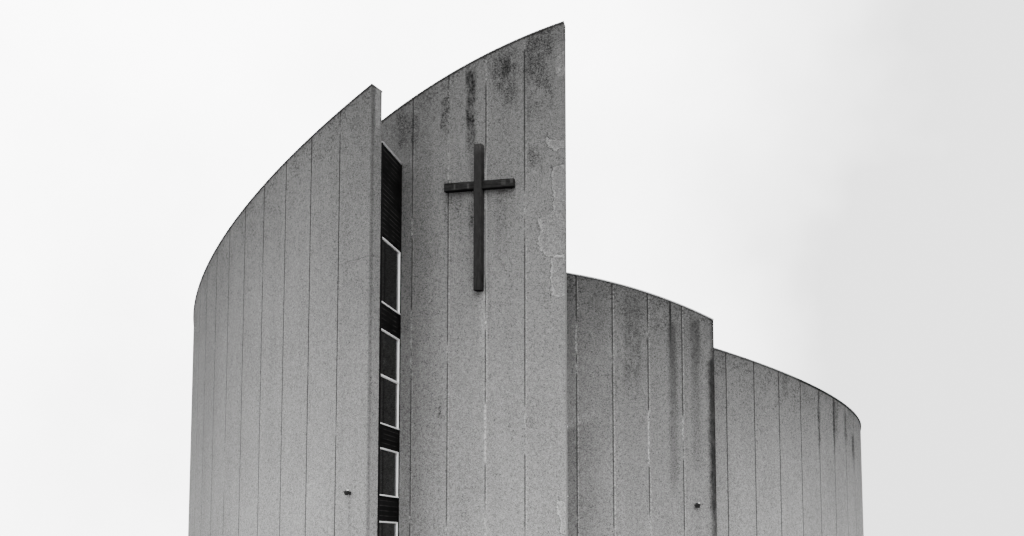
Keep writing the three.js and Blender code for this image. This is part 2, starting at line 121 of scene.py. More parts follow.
# %% A node tree that is written from Python
class Graph:
    def __init__(self, tree):
        self.tree = tree

    def node(self, kind, settings=None, inputs=None):
        """The settings come first, because they can change which sockets the node has."""
        made = self.tree.nodes.new(kind)
        for key, value in (settings or {}).items():
            setattr(made, key, value)
        for key, value in (inputs or {}).items():
            if isinstance(value, Value):
                self.tree.links.new(value.socket, made.inputs[key])
            else:
                made.inputs[key].default_value = value
        return made

    def out(self, made, name=0):
        return Value(self, made.outputs[name])

    def math(self, operation, *values):
        return self.out(self.node("ShaderNodeMath", {"operation": operation}, dict(enumerate(values))))

    def clamp(self, value):
        return self.out(self.node("ShaderNodeClamp", None, {"Value": value}))

    def ramp(self, value, low, high):
        """0 below low, 1 above high, smooth between."""
        inputs = {"Value": value, "From Min": low, "From Max": high}
        return self.out(self.node("ShaderNodeMapRange", {"interpolation_type": "SMOOTHSTEP"}, inputs))

    def band(self, value, centre, half, soft):
        """1 within half of centre, falling to 0 over soft."""
        away = self.math("ABSOLUTE", value - centre)
        return 1.0 - self.ramp(away, half, half + soft)

    def decay(self, value, rate):
        """1 at 0, and less and less beyond it."""
        return self.math("EXPONENT", value * -rate)

    def split(self, vector):
        parts = self.node("ShaderNodeSeparateXYZ", None, {"Vector": vector})
        return [self.out(parts, axis) for axis in "XYZ"]

    def join(self, x=0.0, y=0.0, z=0.0):
        return self.out(self.node("ShaderNodeCombineXYZ", None, {"X": x, "Y": y, "Z": z}))

    def noise(self, vector, scale, detail=2.0, roughness=0.5):
        inputs = {"Vector": vector, "Scale": scale, "Detail": detail, "Roughness": roughness}
        return self.out(self.node("ShaderNodeTexNoise", None, inputs), "Fac")


print("a Graph can make:", [name for name in vars(Graph) if not name.startswith("_")])

# %% [markdown]
# ## The five shells
# Every curved wall is part of a circle in plan, divided into equal panels, and its top lies in a slanted
# plane. Those few numbers describe the whole wall, so they are kept together. Angles are in degrees from
# the front, growing to the right.

# %% Sizes of the shells
WALL_T = 0.38
BASE = 0.2003
SLOT_TOP = 13.15


class Shell:
    """A wall in plan, the plane of its top, its two ends, and the fall of the top across its thickness."""

    def __init__(self, x, y, radius, panel, joint, level, slope_x, slope_y, start, end, fall=0.5):
        self.x = x
        self.y = y
        self.radius = radius
        self.panel = panel
        self.joint = joint
        self.level = level
        self.slope_x = slope_x
        self.slope_y = slope_y
        self.start = start
        self.end = end
        self.fall = fall

    def at(self, degrees, out=0.0):
        """The place in plan on the outer face, or so far out of it."""
        angle = math.radians(degrees)
        reach = self.radius + out
        return Vector((self.x + reach * math.sin(angle), self.y - reach * math.cos(angle)))

    def panel_width(self):
        return math.radians(self.panel) * self.radius

    def along(self, degrees):
        """Metres along the wall from its named joint."""
        return math.radians(degrees - self.joint) * self.radius


SHELL_A = Shell(11.645, 2.78, 24.6, 3.253, -41.2, 14.621, 0.388, -0.124, -89.995, -41.2)
SHELL_B = Shell(3.965, 3.32, 18.01, 3.82, -24.7, 4.41, 0.153, -0.868, -26.61, -9.42, fall=-0.8)
SHELL_C = Shell(2.135, -2.21, 9.44, 6.77, -4.1, 4.972, -0.225, -0.457, -10.87, 22.98)
SHELL_D = Shell(-0.975, 1.8, 13.93, 4.94, 31.5, 8.257, -0.183, -0.063, 24.9, 184.64)
REAR_RADIUS = 10.884
SHELL_E = Shell(
    SHELL_A.x - SHELL_A.radius + REAR_RADIUS, SHELL_A.y, REAR_RADIUS, 90.0 / 14.0, -90.0,
    SHELL_A.level, SHELL_A.slope_x, SHELL_A.slope_y, -180.0, -90.0,
)
B_RETURN_START = SHELL_B.joint - 2.0 * SHELL_B.panel
for label, shell in zip("ABCDE", (SHELL_A, SHELL_B, SHELL_C, SHELL_D, SHELL_E)):
    print("shell", label, "panel", round(shell.panel_width(), 3), "m")

# %% [markdown]
# ## Roughcast
# The walls are finished with small stones thrown into wet render. From a distance this reads as a fine,
# even grain. Over it lie the marks of many winters: soot and algae darken the tone under the top, faint rain
# marks run down, and every panel joint has a dark line with a pale, repaired edge. Painted shade darkens the
# wall as it rises above the ground, and a painted shadow lies under each coping. All of it is noise on the
# metre grid and along the wall, so no picture is needed and the grain keeps its size.


# %% Helpers for every finish
def new_material(name, roughness=0.8, specular=0.5, metallic=0.0):
    material = bpy.data.materials.new(name)
    material.use_nodes = True
    graph = Graph(material.node_tree)
    surface = material.node_tree.nodes["Principled BSDF"]
    surface.inputs["Roughness"].default_value = roughness
    surface.inputs["Specular IOR Level"].default_value = specular
    surface.inputs["Metallic"].default_value = metallic
    coords = graph.out(graph.node("ShaderNodeTexCoord"), "Object")
    return material, graph, surface, coords


FACTOR, COLOUR_A, COLOUR_B, COLOUR_OUT = 0, 6, 7, 2


def set_grey(graph, surface, value, tint=(1.0, 0.992, 0.98)):
    """Mix black with a faint tint. The Mix node's colour sockets are known by their numbers."""
    inputs = {FACTOR: value, COLOUR_A: (0.0, 0.0, 0.0, 1.0), COLOUR_B: (*tint, 1.0)}
    mixed = graph.node("ShaderNodeMix", {"data_type": "RGBA"}, inputs)
    graph.tree.links.new(mixed.outputs[COLOUR_OUT], surface.inputs["Base Color"])


def set_bump(graph, surface, height, strength, distance):
    inputs = {"Height": height, "Strength": strength, "Distance": distance}
    bump = graph.node("ShaderNodeBump", None, inputs)
    graph.tree.links.new(bump.outputs["Normal"], surface.inputs["Normal"])


print("helpers:", [helper.__name__ for helper in (new_material, set_grey, set_bump)])

# %% [markdown]
# The grain has three sizes: dabs as wide as a hand, clumps, and single stones. A Voronoi texture gives the
# stones, because each of its cells is one body with its own shade. Soot is the same kind of noise, cut off
# so high that only small black specks are left.

# %% Thrown stones and soot
STONES_PER_METRE = 62.0


def stone_grain(graph, coords):
    """Thrown stones, laid on in clumps and hand-sized dabs, with pits where some fell out."""
    dabs = graph.noise(coords, 10.0, 2.0, 0.6) - 0.5
    clumps = graph.noise(coords, 23.0, 3.0, 0.8) - 0.5
    inputs = {"Vector": coords, "Scale": STONES_PER_METRE}
    stones = graph.node("ShaderNodeTexVoronoi", {"feature": "F1"}, inputs)
    dome = 0.5 - graph.out(stones, "Distance")
    shade = graph.split(graph.out(stones, "Color"))[0]
    pits = graph.ramp(graph.noise(coords, 23.0, 2.0, 0.6), 0.63, 0.72)
    return dabs * 0.8 + clumps * 2.4 + dome * 1.1 + (shade - 0.5) * 0.5 - pits * 0.4


def soot(graph, s, z, seed):
    """Black specks a few stones wide."""
    return graph.ramp(graph.noise(graph.join(s, z, seed), 13.0, 3.0, 0.75), 0.51, 0.56)


print("one stone is about", round(1000.0 / STONES_PER_METRE), "mm wide")

# %% [markdown]
# The shell was cast in equal panels, so one repeating sum draws all its joints. An open joint is a dark
# line with a pale edge on its right. In places lime has filled it, and then the line itself is pale. A slow
# noise that is different for each joint says which of the two it is.

# %% Panel joints
JOINT_HALF = 0.017
JOINT_EDGE = 0.044
END_BLANK = 0.05
END_SOFT = 0.03


def panel_joint(graph, tone, s, z, width, span, dark, lime, closed):
    """dark and lime are the strengths of the two lines, and a higher closed fills more of the joints."""
    from_joint = (graph.math("FRACT", s / width + 0.5) - 0.5) * width
    away = graph.math("ABSOLUTE", from_joint)
    number = graph.math("FLOOR", s / width + 0.5)
    low = span[0] + END_BLANK
    high = span[1] - END_BLANK
    inside = graph.ramp(s, low, low + END_SOFT) * (1.0 - graph.ramp(s, high - END_SOFT, high))
    state = graph.noise(graph.join(number * 7.3, z * 0.33, 3.0), 1.0, 4.0, 0.6)
    is_open = graph.ramp(state, closed - 0.035, closed + 0.035)
    crumbs = graph.ramp(graph.noise(graph.join(s, z, 5.0), 13.0, 2.0, 0.7), 0.38, 0.6)
    line = (1.0 - graph.ramp(away, JOINT_HALF, JOINT_HALF + 0.008)) * inside
    edge = graph.band(from_joint, JOINT_EDGE, 0.012, 0.014) * inside * is_open
    filled = (1.0 - graph.ramp(away, 0.02, 0.035)) * inside * (1.0 - is_open)
    pale = 1.0 + lime * crumbs * (0.45 * edge + filled)
    return tone * pale * (1.0 - dark * line * (0.1 + 0.9 * is_open))


print("joint line:", round(2000.0 * JOINT_HALF), "mm, pale edge at:", round(1000.0 * JOINT_EDGE), "mm")

# %% [markdown]
# Weather works from the top. The deeper a place lies under the coping, the less soot it holds. The whole
# wall is also painted darker with its height above the ground, a painted shade for the light that the
# ground throws up on the lower wall. Both are tones that die away with distance. The first centimetres under
# the sheet's lip are painted dark, a painted shadow of the lip.

# %% Weather from the top down, and painted shade with height
LIP_SHADOW = 0.038
FADE_FROM = 2.0
FADE_HEIGHT = 13.0
TOP_DEPTH = 2.5


def weather_and_shade(graph, tone, s, z, under, coords, top_dirt):
    cloud = graph.noise(coords, 0.5, 4.0, 0.6) - 0.5
    rain = graph.noise(graph.join(s * 2.4, z * 0.12, 0.0), 1.0, 3.0, 0.6) - 0.5
    near_top = graph.decay(under, 1.0 / TOP_DEPTH)
    blotch = graph.ramp(graph.noise(coords, 2.4, 4.0, 0.7) + 0.14 * graph.decay(under, 0.9), 0.52, 0.66)
    fleck = soot(graph, s, z, 1.0) * blotch * graph.decay(under, 0.45)
    # painted shadow: a dark band in the first centimetres under the coping's lip
    lip_shadow = 1.0 - graph.ramp(under, 0.5 * LIP_SHADOW, 1.5 * LIP_SHADOW)
    # painted shade: the wall darkens with its height above the ground, standing in for the light the ground
    # throws up
    painted_height_shade = graph.decay(z - FADE_FROM, 1.0 / FADE_HEIGHT)
    tone = tone + 0.35 * cloud + 0.3 * rain
    return tone * painted_height_shade * (1.0 - top_dirt * near_top) * (1.0 - 0.65 * fleck) * (1.0 - 0.5 * lip_shadow)


print("soot at the top fades out over about", TOP_DEPTH, "m")

# %% [markdown]
# Some marks belong to one wall: a long streak, a cluster of soot, a lime run below the cross, a patch of
# newer render. Small functions draw them. Each takes a place in metres along the wall and above the ground,
# and noise wears the edges down, so that no mark looks like a ruled box.


# %% Streaks, flecks and damp runs
def streak(graph, tone, s, z, at, half, low, high, depth):
    """A dark run of soot specks, or a pale one where depth is negative."""
    wander = (graph.noise(graph.join(s * 1.5, z * 1.2, at), 1.0, 3.0, 0.7) - 0.5) * min(0.25, 1.2 * half)
    side = graph.band(s + wander, at, half, min(0.12, 1.3 * half))
    length = graph.ramp(z, low, low + 0.35 * (high - low)) * (1.0 - graph.ramp(z, high - 0.15, high + 0.15))
    ragged = graph.ramp(graph.noise(graph.join(s * 7.0, z * 1.8, at), 1.0, 4.0, 0.7), 0.36, 0.58)
    place = side * length
    film = 1.0 - depth * place * (0.15 + 0.3 * ragged)
    return tone * film * (1.0 - 0.85 * depth * place * ragged * soot(graph, s, z, at))


def flecks(graph, tone, s, z, at, half, low, high, depth):
    """Soot specks in ragged clusters, with hardly any film under them."""
    side = graph.band(s, at, 0.4 * half, half)
    height = graph.band(z, 0.5 * (low + high), 0.2 * (high - low), 0.5 * (high - low))
    cluster = graph.ramp(graph.noise(graph.join(s * 3.0, z * 1.3, at), 1.0, 4.0, 0.8), 0.38, 0.62)
    field = side * height * cluster
    fine = graph.ramp(graph.noise(graph.join(s, z, at), 21.0, 2.0, 0.8), 0.47, 0.58)
    return tone * (1.0 - 0.3 * depth * field) * (1.0 - depth * graph.ramp(field, 0.05, 0.6) * fine)


def damp_run(graph, tone, s, z, at, half, low, high, depth):
    """A smooth dark band, fainter towards its foot."""
    wander = (graph.noise(graph.join(s * 1.5, z * 0.8, at), 1.0, 3.0, 0.6) - 0.5) * half
    side = graph.band(s + wander, at, 0.3 * half, half)
    length = graph.ramp(z, low, high - 0.3)
    side = side * (1.0 - graph.ramp(z, high - 0.1, high + 0.1))
    patchy = graph.noise(graph.join(s * 4.0, z * 2.0, at), 1.0, 4.0, 0.7)
    strength = (0.55 + 0.45 * length) * graph.ramp(z, low - 0.6, low) * (0.55 + 0.9 * patchy)
    return tone * (1.0 - depth * side * strength)


def draw_all(kind, graph, tone, s, z, places):
    """The same kind of mark at several places."""
    for place in places:
        tone = kind(graph, tone, s, z, *place)
    return tone


print("kinds of run:", [kind.__name__ for kind in (streak, flecks, damp_run)])

# %% [markdown]
# A patch has two outlines at once: it is paler inside, and a thin dark rim, a painted shadow along its
# edge, has a lighter band just inside it. All three come from one number, the distance to a rectangle with
# worn edges.

# %% Patches of newer render
PATCH_WANDER = 0.75


def patch(graph, tone, s, z, left, right, low, high, lift, face_end, shift, above):
    """Newer render, paler than the wall, rimmed with painted shadow. Above a height it may be narrower."""
    wander = (graph.noise(graph.join(s * 1.6, z * 1.6, left), 1.0, 4.0, 0.6) - 0.5) * PATCH_WANDER
    edge_left = left + shift * graph.ramp(z, above - 0.15, above + 0.15) if shift else left
    across = graph.math("ABSOLUTE", s - 0.5 * (edge_left + right)) - 0.5 * (right - edge_left)
    upward = graph.math("ABSOLUTE", z - 0.5 * (low + high)) - 0.5 * (high - low)
    away = graph.math("SMOOTH_MAX", across, upward, 0.2) + wander
    inside = 1.0 - graph.ramp(away, -0.02, 0.02)
    # painted shadow: a thin dark rim along the patch's edge
    rim = graph.band(away, 0.0, 0.008, 0.02)
    glow = graph.band(away, -0.04, 0.014, 0.025)
    coarse = graph.noise(graph.join(s, z, left), 11.0, 2.0, 0.7) - 0.5
    front = 1.0 - graph.ramp(s, face_end - 0.03, face_end - 0.01)
    paler = 1.0 + front * (inside * (lift + 1.2 * coarse) + 0.45 * glow)
    return tone * paler * (1.0 - 0.38 * rim * front)


print("the edge of a patch wanders by", round(500.0 * PATCH_WANDER), "mm at most")

# %% [markdown]
# One function puts the whole finish together, for any wall that can say how far a point is along it and how
# far under its top. For a shell the first is an angle times the radius, and the second is the height left
# to its slanted top plane.

# %% The roughcast finish
WALL_GREY = 0.224


def roughcast(
    name, across, below_top, width, span, grey=1.0, top_dirt=0.2, dark=0.65, lime=0.2, closed=0.36,
    marks=None,
):
    """across is metres along the wall, and below_top metres under its top, each a sum of coordinates."""
    material, graph, surface, coords = new_material(name, roughness=0.95, specular=0.2)
    x, y, z = graph.split(coords)
    s = across(graph, x, y)
    grain = stone_grain(graph, coords)
    tone = weather_and_shade(graph, 1.0 + grain, s, z, below_top(x, y, z), coords, top_dirt)
    tone = panel_joint(graph, tone, s, z, width, span, dark, lime, closed)
    if marks:
        tone = marks(graph, tone, s, z, x, y)
    # painted light in part: grey scales each wall's whole tone, partly the render's own shade, partly for
    # how much light its facing gets
    set_grey(graph, surface, graph.clamp(tone * (grey * WALL_GREY)))
    set_bump(graph, surface, grain, 0.7, 0.012)
    return material


def across_shell(shell):
    def across(graph, x, y):
        angle = graph.math("ARCTAN2", x - shell.x, shell.y - y)
        if shell.end > 170.0:
            angle = angle + graph.math("LESS_THAN", angle, -2.0) * (2.0 * math.pi)
        return (angle - math.radians(shell.joint)) * shell.radius

    return across


def below_shell(shell):
    return lambda x, y, z: shell.level + shell.slope_x * x + shell.slope_y * y - z


def shell_roughcast(name, shell, **options):
    span = (shell.along(shell.start), shell.along(shell.end))
    finish = roughcast(name, across_shell(shell), below_shell(shell), shell.panel_width(), span, **options)
    print(name, "has", len(finish.node_tree.nodes), "nodes over", round(span[1] - span[0], 1), "m of wall")
    return finish


wall_finish = {}
print("grey of the clean roughcast:", WALL_GREY)

# %% [markdown]
# The left shell turns its broad end face towards the first slot. The wall is painted paler towards this end,
# less so in its last two metres, and a lift line crosses its last panel where the work of two days met. The
# end face is painted a little darker, as painted shade. Its corner is dark, a paler strip shows near its
# top, and specks of soot lie under the lamp.


# %% Marks of the left shell
def marks_a(graph, tone, s, z, x, y):
    # paler towards this end, less so in its last two metres
    paler_towards_end = graph.ramp(s, -11.0, -5.0) * (1.0 - 0.7 * graph.ramp(s, -2.6, -0.7))
    # painted shade: the end face is painted 15 percent darker than the wall
    tone = tone * (1.0 + 0.21 * paler_towards_end) * (1.0 - 0.15 * graph.ramp(s, -0.02, -0.01))
    seam = graph.band(z + 0.1 * graph.noise(graph.join(s, 0.0, 0.0), 2.0) - 0.06 * s, 9.82, 0.01, 0.02)
    tone = tone * (1.0 - 0.25 * seam * graph.ramp(s, -1.45, -1.35))
    tone = flecks(graph, tone, s, z, -0.74, 0.07, 0.9, 3.0, 0.5)
    corner = graph.ramp(s, -0.075, -0.045)
    out_x = x - SHELL_A.x
    out_y = y - SHELL_A.y
    inward = SHELL_A.radius - graph.math("SQRT", out_x * out_x + out_y * out_y)
    tone = tone * (1.0 - 0.3 * corner * (1.0 - graph.ramp(inward, 0.05, 0.12)))
    inset = graph.band(inward + 0.1 * graph.noise(graph.join(z, inward, 0.0), 3.0), 0.27, 0.08, 0.03)
    pale = inset * graph.ramp(z, 13.3, 13.7) * graph.ramp(s, -0.02, -0.01)
    return tone * (1.0 + 0.6 * pale)


wall_finish["a"] = shell_roughcast(
    "roughcast_a", SHELL_A, grey=1.22, top_dirt=0.15, dark=0.78, lime=0.3, closed=0.37, marks=marks_a
)

# %% [markdown]
# The tall shell carries the most marks: a black run behind the top of the cross, flecked soiling under the
# coping, patches along its free edge and a pale lime run below the cross. A list gives the place of each
# mark, so that one can be moved without touching the sums. A run or a cluster is given by its distance
# along the wall, half its width, its foot, its head and its strength, and a patch by its left and right
# sides, its foot and head, and how far its left side steps in above PATCH_STEP.

# %% Marks of the tall shell
RUNS_B = (
    (1.92, 0.09, 12.9, 15.8, 1.0), (1.91, 0.07, 13.6, 15.6, 1.0), (1.94, 0.11, 15.35, 15.85, 1.0),
    (2.9, 0.12, 9.5, 12.2, 0.3), (1.93, 0.05, 10.9, 11.7, 0.8), (3.66, 0.06, 13.2, 16.4, 0.35),
)
FLECKS_B = (
    (1.08, 0.16, 13.8, 15.5, 0.85), (3.0, 0.4, 14.6, 16.4, 0.8), (3.05, 0.14, 15.5, 16.1, 0.8),
    (4.05, 0.4, 14.4, 17.2, 0.8), (1.0, 0.1, 5.3, 5.7, 0.8), (3.75, 0.12, 5.0, 5.3, 0.7),
    (-0.2, 0.4, 13.6, 14.8, 0.7), (1.35, 0.3, 11.0, 12.0, 0.5), (3.95, 0.3, 12.7, 13.4, 0.7),
)
PATCHES_B = (
    (4.25, 5.2, 13.25, 13.55, 0.0), (4.0, 5.2, 10.0, 12.7, 0.42), (4.42, 5.2, 8.8, 10.0, 0.0),
    (4.55, 5.2, 1.9, 2.9, 0.0),
)
PATCH_LIFT = 0.13
PATCH_STEP = 11.25
LIME_TONE = 0.95


def marks_b(graph, tone, s, z, x, y):
    # painted shade and dirt: darker near the slot, partly dirt, partly the shade the left shell casts there
    tone = tone * (1.0 - 0.27 * (1.0 - graph.ramp(s, -0.1, 1.4)))
    tone = draw_all(streak, graph, tone, s, z, RUNS_B)
    tone = draw_all(flecks, graph, tone, s, z, FLECKS_B)
    tone = streak(graph, tone, s, z, 4.72, 0.1, 15.3, 16.3, -0.6)
    free_end = SHELL_B.along(SHELL_B.end)
    for *place, shift in PATCHES_B:
        tone = patch(graph, tone, s, z, *place, PATCH_LIFT, free_end, shift, PATCH_STEP)
    tone = damp_run(graph, tone, s, z, 2.3, 0.14, 7.6, 9.15, -0.3)
    tone = damp_run(graph, tone, s, z, 2.4, 0.08, 1.5, 9.0, -0.2)
    lime_height = graph.ramp(z, 9.2, 9.6) * (1.0 - graph.ramp(z, 13.0, 13.6))
    lime_line = graph.band(s, 2.412, 0.014, 0.014) * lime_height
    return tone + 0.8 * lime_line * (LIME_TONE - tone)


wall_finish["b"] = shell_roughcast(
    "roughcast_b", SHELL_B, grey=1.28, top_dirt=0.05, dark=0.6, lime=1.0, closed=0.435, marks=marks_b
)

# %% [markdown]
# The middle shell takes the most water. Its right edge is black where it runs off the step behind, soft
# dark bands hang under its coping, and at its left foot the wall is darker below a slanted line, with a
# paler rim along that line.

# %% Marks of the middle shell
BANDS_C = (
    (3.02, 0.17, 3.6, 8.5, 0.52), (2.97, 0.035, 8.0, 9.2, 0.8), (3.8, 0.2, 4.2, 8.6, 0.36),
    (0.75, 0.25, 7.8, 9.6, 0.12), (3.45, 0.1, 3.0, 8.4, 0.1), (-0.25, 0.12, 7.5, 10.0, 0.15),
)
RUNS_C = ((1.75, 0.2, 6.0, 9.3, 0.45), (2.97, 0.02, 8.35, 9.2, 0.9), (3.8, 0.1, 7.0, 8.7, 0.3))


def stain_c(graph, tone, s, z):
    """The wet edge of the middle shell: black where water runs off the step, grey again near the ground."""
    ragged = 0.24 * (graph.noise(graph.join(s * 2.0, z * 2.2, 1.0), 1.0, 5.0, 0.75) - 0.5)
    upper = graph.ramp(z, 7.25, 7.5)
    foot = 1.0 - graph.ramp(z, 1.5, 3.5)
    edge = graph.ramp(s + ragged - (0.12 * upper + 0.06 * foot), 4.13, 4.36)
    mottled = graph.noise(graph.join(s * 5.0, z * 1.5, 2.0), 1.0, 4.0, 0.7) - 0.5
    depth = 0.86 - 0.10 * upper - 0.16 * foot + 0.7 * mottled
    return tone * (1.0 - graph.clamp(depth) * edge)


def marks_c(graph, tone, s, z, x, y):
    tone = tone * (1.0 + 0.16 * (1.0 - graph.ramp(s, 0.9, 1.8)))
    tone = draw_all(damp_run, graph, tone, s, z, BANDS_C)
    tone = draw_all(streak, graph, tone, s, z, RUNS_C)
    tone = stain_c(graph, tone, s, z)
    slanted = z - 0.3 * s + 0.25 * graph.noise(graph.join(s, 0.0, 0.0), 1.5)
    # darker below a slanted line at the left foot, with a paler rim along the line
    damp = 1.0 - graph.ramp(slanted, 5.2, 5.5)
    beside = 0.15 * (1.0 - graph.ramp(s, -0.08, 0.02)) + 0.1 * (1.0 - graph.ramp(s, 0.5, 1.1))
    slant_rim = 0.12 * graph.band(slanted, 5.5, 0.05, 0.15) * (1.0 - graph.ramp(s, 0.2, 0.9))
    return tone * (1.0 - damp * beside + slant_rim)


wall_finish["c"] = shell_roughcast(
    "roughcast_c", SHELL_C, grey=0.98, top_dirt=0.30, dark=0.6, lime=1.6, closed=0.42, marks=marks_c
)

# %% [markdown]
# The right shell has short runs where the joints of its coping leak, and on the far right the coping and
# the top few centimetres of the wall are painted dark, a painted shade that deepens the line of shadow
# under the coping. The rear shell has only the common weather.

# %% Marks of the right shell, and the rear shell
RUNS_D = (
    (2.75, 0.12, 6.3, 7.3, 0.5), (4.81, 0.07, 4.6, 6.7, 0.7), (6.02, 0.06, 4.7, 6.5, 1.0),
    (6.2, 0.16, 5.0, 6.6, 0.5), (7.2, 0.12, 5.0, 6.2, 0.7), (8.2, 0.13, 4.5, 5.5, 1.0),
)
BANDS_D = ((6.03, 0.12, 4.9, 6.6, 0.35), (8.2, 0.16, 4.5, 5.5, 0.35))
SHADED_BEYOND = 8.6


def marks_d(graph, tone, s, z, x, y):
    tone = tone * (1.0 - 0.11 * (1.0 - graph.ramp(s, -0.1, 0.3)))
    tone = draw_all(streak, graph, tone, s, z, RUNS_D)
    tone = draw_all(damp_run, graph, tone, s, z, BANDS_D)
    # painted shade: the top few centimetres of the wall on the far right are painted dark
    top_band = 1.0 - graph.ramp(below_shell(SHELL_D)(x, y, z), 0.045, 0.07)
    top_shade = top_band * graph.ramp(x, SHADED_BEYOND, SHADED_BEYOND + 0.8)
    return tone * (1.0 - 0.85 * top_shade)


# painted light in part: this wall's grey is set high because it faces to the right, away from the light
wall_finish["d"] = shell_roughcast(
    "roughcast_d", SHELL_D, grey=1.27, top_dirt=0.46, dark=0.7, lime=0.3, closed=0.2, marks=marks_d
)
wall_finish["e"] = shell_roughcast("roughcast_e", SHELL_E, grey=1.1, top_dirt=0.2, dark=0.7, lime=0.3)

# %% [markdown]
# ## Walls bent by a rule
# A curved wall could be a boolean of two cylinders, but then the joints would have to be cut one by one. It
# is easier to make a straight bar with many columns of points and then move every point: the column's
# number gives its angle, so the bar bends into an arc, and the columns at each joint step back to make a
# groove. Geometry Nodes can do this for all walls with one tree, and the wall's numbers are the tree's
# inputs. Two helpers open and close any tree, and two more write a number on the points and read it again.


# %% Helpers for geometry trees
def geometry_tree(name, entries):
    """A tree with named inputs and a material. The outputs of its input node come back by name."""
    tree = bpy.data.node_groups.new(name, "GeometryNodeTree")
    sockets = {}
    for label, kind in (("Geometry", "Geometry"), *entries, ("Material", "Material")):
        socket_type = f"NodeSocket{kind}"
        sockets[label] = tree.interface.new_socket(name=label, in_out="INPUT", socket_type=socket_type)
    tree.interface.new_socket(name="Geometry", in_out="OUTPUT", socket_type="NodeSocketGeometry")
    graph = Graph(tree)
    given = graph.node("NodeGroupInput")
    return graph, {label: graph.out(given, label) for label in sockets}, sockets


def close_tree(graph, ask, geometry):
    solid = graph.out(graph.node("GeometryNodeRealizeInstances", None, {"Geometry": geometry}))
    inputs = {"Geometry": solid, "Material": ask["Material"]}
    dressed = graph.out(graph.node("GeometryNodeSetMaterial", None, inputs))
    graph.node("NodeGroupOutput", None, {0: dressed})
    print(graph.tree.name, "has", len(graph.tree.nodes), "nodes")


def store(graph, geometry, name, value, kind="FLOAT"):
    settings = {"data_type": kind, "domain": "POINT"}
    inputs = {"Geometry": geometry, "Name": name, "Value": value}
    return graph.out(graph.node("GeometryNodeStoreNamedAttribute", settings, inputs))


def recall(graph, name, kind="FLOAT"):
    found = graph.node("GeometryNodeInputNamedAttribute", {"data_type": kind}, {"Name": name})
    return graph.out(found, "Attribute")


print("helpers:", [helper.__name__ for helper in (geometry_tree, close_tree, store, recall)])

# %% [markdown]
# First the straight bar. A line of points becomes a curve, and a square is swept along it. Before the sweep
# each point of the line gets its number, and each corner of the square gets its place, so that every point
# of the bar knows its column and its corner afterwards.

# %% A straight bar with numbered columns
SHELL_INPUTS = [
    "Centre X", "Centre Y", "Radius", "Face", "Thickness", "Start", "End", "Joint", "Panel", "First",
    "Follow", "Base", "Rise", "Level", "Slope X", "Slope Y", "Fall", "Groove Width", "Groove Depth",
]
g, ask, shell_sockets = geometry_tree(
    "bent_wall", [("Columns", "Int"), *[(name, "Float") for name in SHELL_INPUTS]]
)
shell_tree = g.tree
line = g.node("GeometryNodeMeshLine", None, {"Count": ask["Columns"], "Offset": (1.0, 0.0, 0.0)})
numbered = store(g, g.out(line), "column", g.out(g.node("GeometryNodeInputIndex")))
path = g.node("GeometryNodeMeshToCurve", None, {"Mesh": numbered})
square = g.node("GeometryNodeCurvePrimitiveQuadrilateral", None, {"Width": 1.0, "Height": 1.0})
place = g.out(g.node("GeometryNodeInputPosition"))
cornered = store(g, g.out(square), "corner", place, "FLOAT_VECTOR")
swept = {"Curve": g.out(path), "Profile Curve": cornered, "Fill Caps": True}
bar = g.node("GeometryNodeCurveToMesh", None, swept)
print("inputs of a wall:", len(shell_sockets))

# %% [markdown]
# Then the rule. Each panel has ten columns: two close together make the joint's groove, and the other eight
# share the panel's width. From the column comes an angle, which is held between the wall's two ends. From
# the corner comes the radius, inside or outside, and from both comes the place in plan. The slanted plane
# of the top then gives the height. Near the wall's ends no groove is cut, so the corners stay whole.

# %% The rule that bends it
COLUMNS = 10
GROOVE_COLUMNS = 2
GROOVE_SLANT = 0.006
END_CLEAR = 0.05
MERGE_DIST = 0.0002

column = recall(g, "column")
corner_x, corner_y, _ = g.split(recall(g, "corner", "FLOAT_VECTOR"))
panel_number = g.math("FLOOR", (column + 0.5) / COLUMNS)
local = column - panel_number * COLUMNS
in_groove = g.math("LESS_THAN", local, GROOVE_COLUMNS - 0.5)
groove_side = local * 2.0 - 1.0
spread = (local - GROOVE_COLUMNS) / (COLUMNS - GROOVE_COLUMNS - 1.0)
margin = ask["Groove Width"] * 0.5 + GROOVE_SLANT
panel_metres = ask["Panel"] * (math.pi / 180.0) * ask["Radius"]
in_panel = margin + spread * (panel_metres - 2.0 * margin)
metres = in_groove * (groove_side * ask["Groove Width"] * 0.5) + (1.0 - in_groove) * in_panel
raw = ask["Joint"] + (ask["First"] + panel_number + metres / panel_metres) * ask["Panel"]
angle_deg = g.math("MINIMUM", g.math("MAXIMUM", raw, ask["Start"]), ask["End"])
after_start = g.math("GREATER_THAN", angle_deg - ask["Start"], END_CLEAR)
before_end = g.math("GREATER_THAN", ask["End"] - angle_deg, END_CLEAR)
outer = g.math("GREATER_THAN", corner_x, 0.0)
upper = g.math("GREATER_THAN", corner_y, 0.0)
cut = outer * in_groove * (after_start * before_end) * ask["Groove Depth"]
reach = ask["Radius"] - cut - (1.0 - outer) * ask["Thickness"]
angle = angle_deg * (math.pi / 180.0)
new_x = ask["Centre X"] + reach * g.math("SINE", angle)
new_y = ask["Centre Y"] - reach * g.math("COSINE", angle)
depth = g.math("MAXIMUM", ask["Face"] - reach, 0.0)
plane = ask["Level"] + ask["Slope X"] * new_x + ask["Slope Y"] * new_y - ask["Fall"] * depth
new_z = upper * (plane + ask["Rise"]) + (1.0 - upper) * (ask["Base"] + ask["Follow"] * plane)
moved = {"Geometry": g.out(bar), "Position": g.join(new_x, new_y, new_z)}
bent = g.out(g.node("GeometryNodeSetPosition", None, moved))
